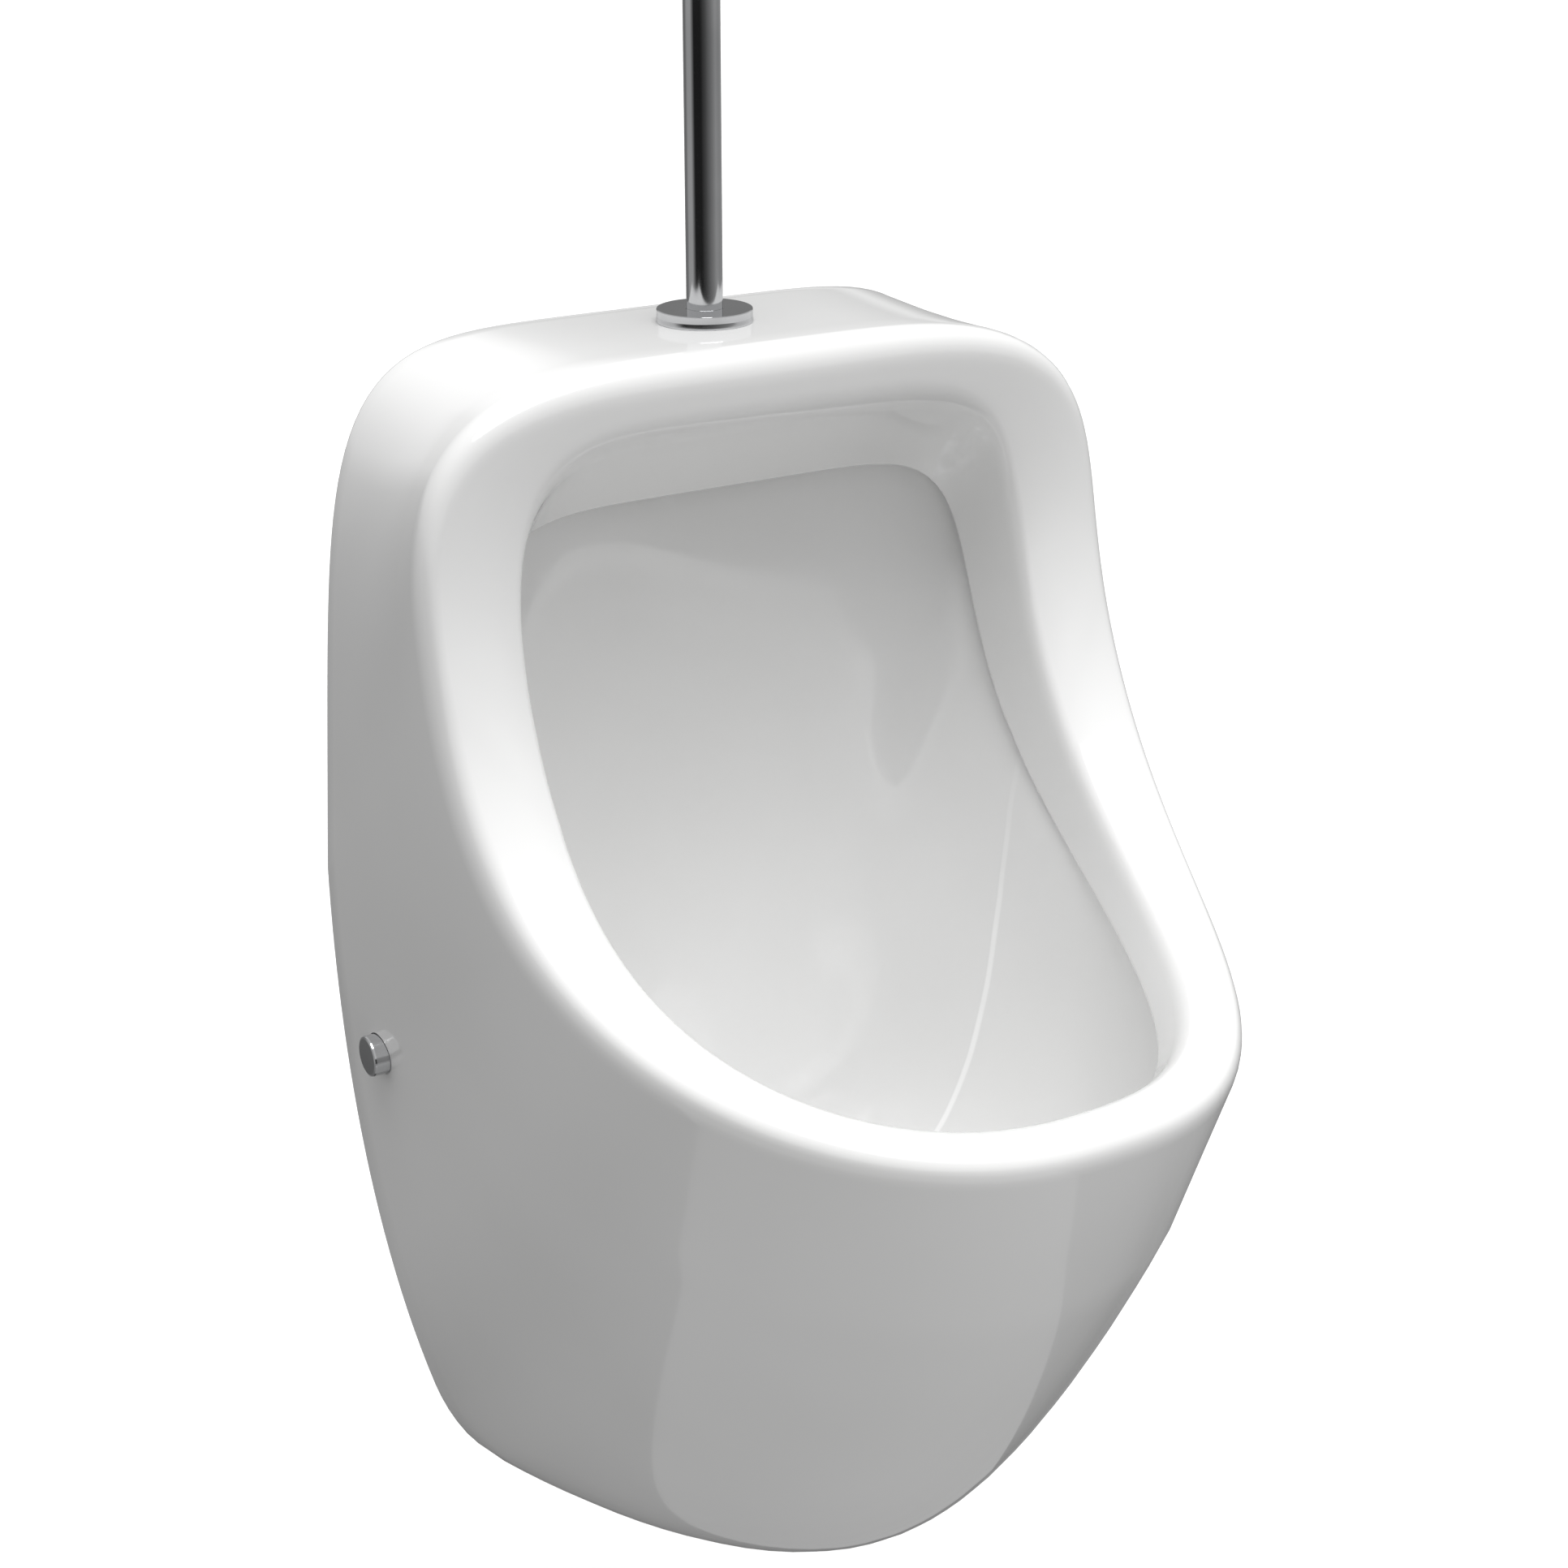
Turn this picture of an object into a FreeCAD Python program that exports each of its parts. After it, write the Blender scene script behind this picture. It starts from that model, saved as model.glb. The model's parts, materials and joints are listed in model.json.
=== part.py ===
"""Wall hung bowl urinal: slip-cast ceramic, flush pipe, outlet fitting, bottle trap and wall fixings.

Millimetres, +X to the right, +Y into the wall, +Z up.  The origin is on the wall's face, on the
centre line, at the height of the two side fixings.
"""
import FreeCAD, Part
import math
import os

from FreeCAD import Vector

# ---------------------------------------------------------------- driving dimensions
# ceramic: side profiles are Bezier curves in (y, z), from the top edge to the lip
RIDGE_PROFILE = [(-119, 355), (-113, 156), (-195, 69), (-402, 67)]     # outer edge of the rim
MOUTH_PROFILE = [(-118, 321), (-112, 161), (-196, 70), (-372, 69)]     # inner edge of the rim's face
LEDGE_PROFILE = [(-71, 276), (-78, 134), (-174, 54), (-360, 46)]       # lower edge of the flush rim
MOUTH_HALF_WIDTH = 141.0
RIM_WIDTH = 50.0              # width of the rim's face at the sides
LEDGE_INSET = 2.0             # how much narrower the flush rim's lower edge is than the mouth
WALL_FLARE = 5.0              # how much wider the outline on the wall is than the rim
RIDGE_HALF_WIDTH = MOUTH_HALF_WIDTH + RIM_WIDTH
LEDGE_HALF_WIDTH = MOUTH_HALF_WIDTH - LEDGE_INSET
WALL_HALF_WIDTH = RIDGE_HALF_WIDTH + WALL_FLARE
WALL_TAPER = 0.085            # how much narrower the wall outline is at its top
TOP_Z = 355.0
BOTTOM_Z = -264.0
BOTTOM_FRONT_Y = -176.0       # front of the open underside
BOTTOM_CORNER = 30.0          # radius where the back edge turns into the underside
CERAMIC_WALL = 10.0
BACK_EDGE = 13.0              # width of the edge that touches the wall
RIDGE_ROUND = 17.0
MOUTH_ROUND = 10.0
LEDGE_THICKNESS = 9.0         # the flush rim's overhang past the bowl wall

# bowl and its outlet
BOWL_BACK_Y = -42.0           # nearest that the bowl's inside comes to the wall
BOWL_TUCK = 14.0              # the bowl's back wall lies this far behind the ledge
# rings up the bowl's inside: how far inside the flush rim's half width, back point (y behind
# BOWL_BACK_Y, z), height at the side, front point (y inside the lip, z)
BOWL_RINGS = [(73, (24, -98), -104, (162, -102)), (47, (12, -72), -84, (114, -86)),
              (25, (6, -30), -50, (56, -58)), (9, (2, 40), 0, (16, -16))]
BOWL_TOP_RING = (0, (0, 150), 70, (0, 14))
RIM_CORE = 13.0               # depth of the rim's hollow below its front face
OUTLET_Y = -126.0
FLOOR_Z = -112.0              # seat of the outlet flange's seal
FLOOR_THICKNESS = 15.0
FLANGE_GAP = 2.0              # gap round the waste's flange in its recess
RECESS_DEPTH = 5.0
OUTLET_HOLE_R = 26.0

# water chamber and inlet
PIPE_Y = -48.5
INLET_HOLE_R = 17.5
CHAMBER_HALF_WIDTH = 58.0
CHAMBER_WALL = 9.0
CHAMBER_BACK_Y = -22.0
RIM_HOLE_R = 3.0
RIM_HOLE_PITCH = 17.0

# flush pipe and rosette
PIPE_R = 9.0
PIPE_WALL = 1.0
PIPE_TOP_Z = 522.0
PIPE_INSERT = 26.0            # length of pipe below the ceramic's top
ROSETTE_R = 24.0
ROSETTE_HEIGHT = 6.5
ROSETTE_SKIN = 1.2
SEAL_FLANGE_R = 20.5
SEAL_FLANGE = 3.0
UNION_NUT_R = 16.5
UNION_THREAD_R = 13.2         # the flush valve's three-quarter inch outlet screws in here
UNION_THREAD = 14.0
UNION_RING_R = 11.8
UNION_RING = 5.0
UNION_LIP = 3.0
SPREADER_R = 12.0
SPREADER_HEIGHT = 27.0

# outlet fitting
FLANGE_R = 38.0
FLANGE_THICKNESS = 2.5
FLANGE_SEAL = 2.0
RECESS_R = FLANGE_R + FLANGE_GAP
TAIL_R = 23.0
TAIL_BORE_R = 19.5
TAIL_END_Z = -148.0           # the threaded tail narrows to its spigot here
SPIGOT_R = 20.0
SPIGOT_BORE_R = 18.2
SPIGOT_END_Z = -178.0
UNDER_GASKET = 3.0
GASKET_R = 31.0
WASTE_NUT_HEIGHT = 10.0
WASTE_NUT_ACROSS = 64.0
STRAINER_R = 33.0
STRAINER_RISE = 7.0
STRAINER_SHEET = 1.5
STRAINER_HOLE_R = 2.4
STRAINER_SKIRT = 9.0

# bottle trap
TRAP_R = 30.0
TRAP_WALL = 2.6
TRAP_TOP_Z = -184.0
TRAP_END_Z = -236.0           # lower edge of the body inside the cup
NECK_R = 25.0
NECK_TOP_Z = -166.0
INLET_NUT_R = 29.0
INLET_NUT_TOP_Z = -157.0
INLET_NUT_END_Z = -180.0
DIP_TUBE_R = 16.0
DIP_TUBE_END_Z = -247.0
CUP_WALL = 3.4
CUP_TOP_Z = -225.0
CUP_BOTTOM_Z = -262.0
CUP_LEDGE_R = 26.0
CUP_SEAL = 3.0
SIDE_OUTLET_Z = -203.0
SIDE_NECK_R = 20.5
SIDE_NECK_END = 50.0          # reach of the side neck from the trap's axis
OUTLET_PIPE_R = 16.0
OUTLET_PIPE_WALL = 1.8
OUTLET_NUT_R = 24.5
OUTLET_INTO_WALL = 46.0
WALL_PLATE_R = 34.0
WALL_PLATE = 4.0
CONNECTOR_R = 22.0
CONNECTOR_LENGTH = 42.0

# fixings
FIX_Y = -40.0                 # distance of the side fixings from the wall
FIX_SEAT_DEPTH = 8.0
FIX_SEAT_X = WALL_HALF_WIDTH - FIX_SEAT_DEPTH       # spot face on the ceramic's side
FIX_PAD_R = 15.0
FIX_PAD = 15.0                # thickness of the ceramic under the spot face
FIX_HOLE_R = 7.0
CAP_R = 10.6
CAP_HEIGHT = 9.0
CAP_SKIN = 0.8
SCREW_R = 3.0
SCREW_HEAD_ACROSS = 10.0
SCREW_HEAD = 4.0
SLEEVE_R = 6.5
SLEEVE_FLANGE_R = 9.4
SLEEVE_FLANGE = 2.0
SHEET = 4.0                   # thickness of the steel brackets
BRACKET_HALF_HEIGHT = 27.0
LUG_GAP = 17.0
BRACKET_LUG_X = FIX_SEAT_X - LUG_GAP      # outer face of the lug that takes the side screw
BRACKET_WIDTH = 37.0
BRACKET_REACH = 54.0
BRACKET_SCREW_INSET = 23.0
BRACKET_SCREW_X = BRACKET_LUG_X - BRACKET_SCREW_INSET
BRACKET_SCREW_PITCH = 34.0
LUG_NUT = 5.0
HANGER_INSET = 90.0
HANGER_X = WALL_HALF_WIDTH - HANGER_INSET
HANGER_HALF_WIDTH = 18.0
HANGER_DROP = 33.0
HANGER_TOP_Z = TOP_Z - HANGER_DROP
HANGER_HEIGHT = 60.0
HANGER_REACH = 34.0
HANGER_SCREW_DROP = 32.0
HANGER_GUSSET = 26.0
HANGER_SCREW_Z = HANGER_TOP_Z - HANGER_SCREW_DROP
HANGER_LUG_HALF_WIDTH = 24.0  # the ceramic lug that rests on the hanger
HANGER_LUG_REACH = 52.0
HANGER_SCREW_PITCH = 24.0
HANGER_PAD = 2.0
WALL_SCREW_R = 3.0
WALL_NECK_R = 2.7             # plain neck of the same screw, through washer and sheet
WALL_SCREW_LENGTH = 48.0
WALL_HEAD_ACROSS = 10.0
WALL_HEAD = 4.0
WASHER_R = 7.0
WASHER = 1.4

CLEAR = 0.3                   # gap between pieces that only face each other
FIT = 0.05                    # radial gap of a sliding or threaded fit
RING_STEPS = 11               # points on a quarter of a ring
BEND_LENGTH = 35.0            # length that each radian of turning counts as when points are spread


# ---------------------------------------------------------------- outlines of the ceramic
def bezier(points, t):
    """Point at t on the Bezier curve of four control points of any dimension."""
    weights = ((1 - t) ** 3, 3 * t * (1 - t) ** 2, 3 * t * t * (1 - t), t ** 3)
    return tuple(sum(w * p[i] for w, p in zip(weights, points)) for i in range(len(points[0])))


def measured(points):
    """Running length along a line, counting each radian of turning as BEND_LENGTH more."""
    reach, heading = [0.0], None
    for a, b in zip(points, points[1:]):
        step = [v - u for u, v in zip(a, b)]
        length = math.hypot(*step)
        way = [u / length for u in step]
        turning = math.dist(way, heading) if heading else 0.0
        heading = way
        reach.append(reach[-1] + length + BEND_LENGTH * turning)
    return reach


def spread(points, middle):
    """A line resampled in 2 * RING_STEPS steps, with the point of index middle half way.

    The steps grow or shrink smoothly past the middle, so a curve through them has no ripple.
    """
    reach = measured(points)
    first, second = reach[middle] / RING_STEPS, (reach[-1] - reach[middle]) / RING_STEPS
    slope = 2 * first * second / (first + second)
    line, j = [], 0
    for i in range(2 * RING_STEPS + 1):
        if i <= RING_STEPS:
            u, pace, base, turn = i / RING_STEPS, first, 0.0, (1.5 * first - 0.5 * slope, slope)
        else:
            u, pace, base = i / RING_STEPS - 1, second, reach[middle]
            turn = (slope, 1.5 * second - 0.5 * slope)
        rise = pace * (3 * u * u - 2 * u ** 3)
        s = base + RING_STEPS * (rise + turn[0] * u * (1 - u) ** 2 - turn[1] * u * u * (1 - u))
        s = min(max(s, 0.0), reach[-1])
        while j < len(reach) - 2 and reach[j + 1] < s:
            j += 1
        t = (s - reach[j]) / (reach[j + 1] - reach[j])
        line.append(tuple(a + (b - a) * t for a, b in zip(points[j], points[j + 1])))
    return line


def egg(half_width, profile, widest, top_power, low_power, taper=0.0):
    """Closed ring whose side view is profile(t) and whose front view is a superellipse.

    t runs from 0 at the top centre, through the widest place, to 1 at the lowest centre.
    Each half has its own power, so the top can be squarer than the bottom.
    """
    top, low, fine = [], [], 160
    for i in range(fine + 1):
        turn = math.pi / 2 * i / fine
        side, rise = math.sin(turn), math.cos(turn)
        t = widest * (1 - rise ** (2 / top_power))
        narrow = 1 - taper * (widest - t) / widest
        top.append((half_width * side ** (2 / top_power) * narrow,) + profile(t))
        t = widest + (1 - widest) * side ** (2 / low_power)
        low.append((half_width * rise ** (2 / low_power),) + profile(t))
    half = spread(top + low[1:], fine)
    half[0], half[-1] = (0.0,) + half[0][1:], (0.0,) + half[-1][1:]
    return half + [(-x, y, z) for x, y, z in half[1:-1]][::-1]


def ridge_ring():
    return egg(RIDGE_HALF_WIDTH, lambda t: bezier(RIDGE_PROFILE, t), 0.26, 4.5, 2.5)


def mouth_ring():
    return egg(MOUTH_HALF_WIDTH, lambda t: bezier(MOUTH_PROFILE, t), 0.45, 6.0, 2.5)


def ledge_ring(grow=0.0, back=0.0):
    profile = [(y + back, z) for y, z in LEDGE_PROFILE]
    profile[0] = (profile[0][0], profile[0][1] + grow)
    profile[3] = (profile[3][0] - grow - back, profile[3][1] - back)
    return egg(LEDGE_HALF_WIDTH + grow, lambda t: bezier(profile, t), 0.45, 6.5, 2.4)


def wall_ring(inset=0.0, past=0.0):
    """Ring down the wall, round the lower corner and forward round the open underside."""
    top, bottom, front = TOP_Z - inset, BOTTOM_Z - past, BOTTOM_FRONT_Y + inset
    straight = top - bottom - BOTTOM_CORNER
    arc = BOTTOM_CORNER * math.pi / 2
    forward = past - front - BOTTOM_CORNER

    def profile(t):
        s = t * (straight + arc + forward)
        if s < straight:
            return past, top - s
        if s < straight + arc:
            turn = (s - straight) / BOTTOM_CORNER
            return (past - BOTTOM_CORNER * (1 - math.cos(turn)),
                    bottom + BOTTOM_CORNER * (1 - math.sin(turn)))
        return past - BOTTOM_CORNER - (s - straight - arc), bottom
    return egg(WALL_HALF_WIDTH - inset, profile, 0.34, 6.0, 2.0, WALL_TAPER)


def lowness(i):
    """0 on the upper half of a ring, rising to 1 at its lowest point."""
    u = i if i <= 2 * RING_STEPS else 4 * RING_STEPS - i
    return math.sin(max(0.0, u / RING_STEPS - 1) * math.pi / 2) ** 2


def hull_ring(ridge, wall, s):
    """Ring at share s of the way from the rim's outer edge back to the wall."""
    ring = []
    for i, (p, q) in enumerate(zip(ridge, wall)):
        low = lowness(i)
        third = [(b - a) / 3 for a, b in zip(p, q)]
        lead = (p[0] + third[0] * (1 - 0.6 * low), p[1] + third[1] * (1 - low) + 15 * low,
                p[2] + third[2] * (1 - low) - 97 * low)
        tail = (q[0] - third[0] * (1 - low), q[1] - third[1] * (1 - low) - 69 * low,
                q[2] - third[2] * (1 - low) - 38 * low)
        ring.append(bezier([p, lead, tail, q], s))
    return ring


def bowl_ring(half_width, back, middle_z, front, widest=0.5, top_power=3.0, low_power=2.3):
    """Ring of the bowl's inside from its back point, over middle_z at its side, to its front."""
    curve = [back, (back[0] + 0.3 * (front[0] - back[0]), middle_z),
             (back[0] + 0.7 * (front[0] - back[0]), middle_z), front]
    return egg(half_width, lambda t: bezier(curve, t), widest, top_power, low_power)


def circle_ring(radius, z):
    back, front = (OUTLET_Y + radius, z), (OUTLET_Y - radius, z)
    return egg(radius, lambda t: (back[0] + (front[0] - back[0]) * t, z), 0.5, 2.0, 2.0)


def towards(a, b, length):
    """Ring a moved by length towards ring b."""
    ring = []
    for p, q in zip(a, b):
        gap = math.dist(p, q)
        ring.append(tuple(u + (v - u) * length / gap for u, v in zip(p, q)))
    return ring


def rounded(corner, before, after, radius):
    """Four rings that round the edge at corner between the rings before and after it."""
    a, b = towards(corner, before, radius), towards(corner, after, radius)
    rings = []
    for t in (0.0, 1 / 3, 2 / 3, 1.0):
        rings.append([tuple((1 - t) ** 2 * u + 2 * t * (1 - t) * c + t * t * v
                            for u, c, v in zip(p, k, q)) for p, k, q in zip(a, corner, b)])
    return rings


def halfway(a, b):
    return [tuple((u + v) / 2 for u, v in zip(p, q)) for p, q in zip(a, b)]


def inward(rings, depth):
    """The middle rings of a stack moved into the wall by depth."""
    moved = []
    for j in range(1, len(rings) - 1):
        ring, n = [], len(rings[j])
        for i in range(n):
            round_ = Vector(*rings[j][(i + 1) % n]) - Vector(*rings[j][i - 1])
            along = Vector(*rings[j + 1][i]) - Vector(*rings[j - 1][i])
            normal = round_.cross(along).normalize()
            ring.append(tuple(Vector(*rings[j][i]) - normal * depth))
        moved.append(ring)
    return moved


# ---------------------------------------------------------------- simple solids
def rod(radius, start, end):
    """Cylinder from start to end."""
    line = Vector(*end) - Vector(*start)
    return Part.makeCylinder(radius, line.Length, Vector(*start), line)


def pipe(outer, inner, start, end):
    return rod(outer, start, end).cut(rod(inner, start, end))


def block(x0, x1, y0, y1, z0, z1):
    return Part.makeBox(x1 - x0, y1 - y0, z1 - z0, Vector(x0, y0, z0))


def placed(shape, at, direction):
    """A shape made round +Z, turned to direction and moved to at."""
    turn = FreeCAD.Rotation(Vector(0, 0, 1), Vector(*direction))
    shape.Placement = FreeCAD.Placement(Vector(*at), turn)
    return shape


def turned(points, at=(0, 0, 0), direction=(0, 0, 1)):
    """Solid of revolution of a closed outline of (radius, height) points."""
    outline = [Vector(r, 0, h) for r, h in points]
    face = Part.Face(Part.makePolygon(outline + outline[:1]))
    return placed(face.revolve(Vector(0, 0, 0), Vector(0, 0, 1), 360), at, direction)


def hexagon(across, bore, height, at, direction):
    """Hexagon nut or screw head; bore 0 leaves it solid."""
    r = across / 2 / math.cos(math.pi / 6)
    corners = [Vector(r * math.cos(math.pi / 3 * i), r * math.sin(math.pi / 3 * i), 0)
               for i in range(6)]
    shape = Part.Face(Part.makePolygon(corners + corners[:1])).extrude(Vector(0, 0, height))
    shape = shape.common(turned([(0, 0), (r, 0), (r, height * 0.8), (r * 0.93, height), (0, height)]))
    if bore:
        shape = shape.cut(rod(bore, (0, 0, -1), (0, 0, height + 1)))
    return placed(shape, at, direction)


# ---------------------------------------------------------------- ceramic solid
def flat(*corners):
    points = [Vector(*c) for c in corners]
    return Part.Face(Part.makePolygon(points + points[:1]))


def strip(a, b):
    """Flat facets between two rings, each quadrangle split along its shorter diagonal."""
    faces, n = [], len(a)
    for i in range(n):
        p, q, r, s = a[i], a[(i + 1) % n], b[(i + 1) % n], b[i]
        if math.dist(p, r) <= math.dist(q, s):
            faces += [flat(p, q, r), flat(p, r, s)]
        else:
            faces += [flat(p, q, s), flat(q, r, s)]
    return faces


def lid(ring):
    """Closes a ring that is the same on both sides, from each point straight across."""
    n = len(ring)
    faces = [flat(ring[0], ring[1], ring[-1]), flat(ring[n // 2], ring[n // 2 - 1], ring[n // 2 + 1])]
    for i in range(1, n // 2 - 1):
        faces.append(flat(ring[i], ring[i + 1], ring[-i - 1], ring[-i]))
    return faces


def solid_through(rings):
    """Closed solid whose skin runs through a stack of rings, closed at both ends."""
    faces = lid(rings[0]) + lid(rings[-1])
    for a, b in zip(rings, rings[1:]):
        faces += strip(a, b)
    shell = Part.Shell(faces)
    shell.sewShape()
    solid = Part.Solid(shell)
    if solid.Volume < 0:
        solid.reverse()
    return solid


def bowl_rings():
    """Rings of the bowl's inside, from the outlet's recess up to behind the flush rim."""
    side, back, lip = LEDGE_HALF_WIDTH, BOWL_BACK_Y, LEDGE_PROFILE[3][0]

    def section(inset, behind, middle_z, front, *form):
        return bowl_ring(side - inset, (back - behind[0], behind[1]), middle_z,
                         (lip + front[0], front[1]), *form)
    return ([circle_ring(RECESS_R + 5, FLOOR_Z + RECESS_DEPTH)]
            + [section(*ring) for ring in BOWL_RINGS]
            + [section(*BOWL_TOP_RING, 0.42, 4.0), ledge_ring(LEDGE_THICKNESS, BOWL_TUCK)])


def filled_and_hollow():
    """The ceramic's outside with the bowl in it, and the hollow behind them."""
    ridge, mouth, ledge, bowl = ridge_ring(), mouth_ring(), ledge_ring(), bowl_rings()
    hull = [hull_ring(ridge, wall_ring(), s / 8) for s in range(9)]
    ridge_round = rounded(ridge, mouth, hull[2], RIDGE_ROUND)
    mouth_round = rounded(mouth, ledge, ridge, MOUTH_ROUND)
    filled = solid_through(bowl + [ledge] + mouth_round + ridge_round + hull[2:])

    hollow_hull = inward(hull, CERAMIC_WALL)
    behind_ledge = ledge_ring(LEDGE_THICKNESS + CERAMIC_WALL, BOWL_TUCK + CERAMIC_WALL)
    behind_ledge = [(x, y + 6 * lowness(i), z - 8 * lowness(i))
                    for i, (x, y, z) in enumerate(behind_ledge)]
    in_rim = inward([mouth, halfway(ridge, mouth), ridge], RIM_CORE)[0]
    at_lip = halfway(hollow_hull[0], behind_ledge)
    hollow_rim = [tuple(u + (v - u) * lowness(i) for u, v in zip(p, q))
                  for i, (p, q) in enumerate(zip(in_rim, at_lip))]
    floor = circle_ring(RECESS_R + 12, FLOOR_Z - FLOOR_THICKNESS)
    hollow = solid_through([floor] + inward(bowl, CERAMIC_WALL) + [behind_ledge, hollow_rim]
                           + hollow_hull + [wall_ring(BACK_EDGE, 2.0)])
    return filled, hollow


def prism(outline, half_width, x=0.0):
    """A (y, z) outline extruded to both sides of x."""
    points = [Vector(x - half_width, y, z) for y, z in outline]
    face = Part.Face(Part.makePolygon(points + points[:1]))
    return face.extrude(Vector(2 * half_width, 0, 0))


def chamber(grow):
    """Water chamber above the bowl's back wall, between the top and the flush rim."""
    (low_y, low_z), (high_y, high_z) = LEDGE_PROFILE[0], MOUTH_PROFILE[0]
    back, floor, top = CHAMBER_BACK_Y + grow, low_z + 16 - grow, TOP_Z - CERAMIC_WALL + grow / 2
    outline = [(back, top), (back, floor), (low_y + BOWL_TUCK - grow / 2, floor),
               (high_y + 20 - grow / 2, high_z + 11 - grow), (high_y + 20 - grow / 2, top)]
    return prism(outline, CHAMBER_HALF_WIDTH + grow)


def ceramic_body():
    filled, hollow = filled_and_hollow()
    kept = [chamber(CHAMBER_WALL)]
    for side in (-1, 1):
        lug = block(HANGER_X - HANGER_LUG_HALF_WIDTH, HANGER_X + HANGER_LUG_HALF_WIDTH,
                    -HANGER_LUG_REACH, -2, HANGER_TOP_Z + HANGER_PAD, TOP_Z)
        pad = rod(FIX_PAD_R, (FIX_SEAT_X - FIX_PAD, FIX_Y, 0), (FIX_SEAT_X + 20, FIX_Y, 0))
        kept += [mirrored(lug, side), mirrored(pad, side)]
    body = filled.cut(hollow.cut(kept))
    holes = [chamber(0.0), rod(INLET_HOLE_R, (0, PIPE_Y, TOP_Z - 20), (0, PIPE_Y, TOP_Z + 9)),
             rod(RECESS_R, (0, OUTLET_Y, FLOOR_Z), (0, OUTLET_Y, FLOOR_Z + 20)),
             rod(OUTLET_HOLE_R, (0, OUTLET_Y, FLOOR_Z - 40), (0, OUTLET_Y, FLOOR_Z + 1))]
    y, z = LEDGE_PROFILE[0][0] + BOWL_TUCK / 2, LEDGE_PROFILE[0][1]
    for i in range(-3, 4):
        x = i * RIM_HOLE_PITCH
        holes.append(rod(RIM_HOLE_R, (x, y, z - 8), (x, y, z + 26)))
    for side in (-1, 1):
        inner, seat, outer = FIX_SEAT_X - 2 * FIX_PAD, FIX_SEAT_X, FIX_SEAT_X + 2 * FIX_PAD
        holes.append(rod(FIX_HOLE_R, (side * inner, FIX_Y, 0), (side * outer, FIX_Y, 0)))
        holes.append(rod(CAP_R + 0.6, (side * seat, FIX_Y, 0), (side * outer, FIX_Y, 0)))
    return body.cut(holes).removeSplitter()


def mirrored(shape, side):
    """The shape as made for the right side, or its mirror image for side -1."""
    return shape if side > 0 else shape.mirror(Vector(0, 0, 0), Vector(1, 0, 0))


def at_pitch(shape, places):
    """Copies of one shape moved to each place."""
    copies = []
    for place in places:
        copy = shape.copy()
        copy.translate(Vector(*place))
        copies.append(copy)
    return Part.makeCompound(copies)


# ---------------------------------------------------------------- inlet
def flush_pipe():
    return pipe(PIPE_R, PIPE_R - PIPE_WALL, (0, PIPE_Y, TOP_Z - PIPE_INSERT), (0, PIPE_Y, PIPE_TOP_Z))


def union_nut():
    """Nut that screws the pipe to the flush valve's outlet; its thread is free above the pipe."""
    bore, base = PIPE_R + FIT, -UNION_RING - UNION_LIP
    outline = [(bore, base), (UNION_NUT_R - 1, base), (UNION_NUT_R, base + 1),
               (UNION_NUT_R, UNION_THREAD - 1), (UNION_NUT_R - 1, UNION_THREAD),
               (UNION_THREAD_R, UNION_THREAD), (UNION_THREAD_R, 0), (UNION_RING_R + FIT, 0),
               (UNION_RING_R + FIT, -UNION_RING), (bore, -UNION_RING)]
    flats = hexagon(UNION_NUT_R * 2 - 3, 0, UNION_THREAD - base, (0, PIPE_Y, PIPE_TOP_Z + base),
                    (0, 0, 1))
    return turned(outline, (0, PIPE_Y, PIPE_TOP_Z)).common(flats)


def union_ring():
    z = PIPE_TOP_Z
    return pipe(UNION_RING_R, PIPE_R + FIT, (0, PIPE_Y, z - UNION_RING), (0, PIPE_Y, z))


def pipe_rosette():
    bore, inside, top = PIPE_R + FIT, ROSETTE_R - ROSETTE_SKIN, ROSETTE_HEIGHT
    under = top - ROSETTE_SKIN
    outline = [(inside, 0), (ROSETTE_R, 0), (ROSETTE_R, top - 1.8), (ROSETTE_R - 0.6, top - 0.6),
               (ROSETTE_R - 1.8, top), (bore, top), (bore, under), (inside - 1, under),
               (inside, under - 1)]
    return turned(outline, (0, PIPE_Y, TOP_Z))


def inlet_seal():
    bore, sleeve = PIPE_R + FIT, INLET_HOLE_R - FIT
    outline = [(bore, SEAL_FLANGE), (bore, -13), (bore + 2.5, -13), (sleeve, -3), (sleeve, 0),
               (SEAL_FLANGE_R, 0), (SEAL_FLANGE_R, SEAL_FLANGE)]
    return turned(outline, (0, PIPE_Y, TOP_Z))


def inlet_spreader():
    bore, end = PIPE_R + FIT, -13 - SPREADER_HEIGHT
    outline = [(bore, -13), (SPREADER_R, -13), (SPREADER_R, end), (0, end), (0, end + 2),
               (bore - 1.2, end + 2), (bore - 1.2, -PIPE_INSERT), (bore, -PIPE_INSERT)]
    body = turned(outline, (0, PIPE_Y, TOP_Z))
    z0, z1 = TOP_Z + end + 2, TOP_Z + end + 10
    slots = [block(-20, 20, PIPE_Y - 4, PIPE_Y + 4, z0, z1),
             block(-4, 4, PIPE_Y - 20, PIPE_Y + 20, z0, z1)]
    return body.cut(slots)


# ---------------------------------------------------------------- outlet fitting
def polygon_prism(radius, sides, x, y, z0, z1):
    corners = [Vector(x + radius * math.cos(2 * math.pi * i / sides),
                      y + radius * math.sin(2 * math.pi * i / sides), z0) for i in range(sides)]
    return Part.Face(Part.makePolygon(corners + corners[:1])).extrude(Vector(0, 0, z1 - z0))


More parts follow.
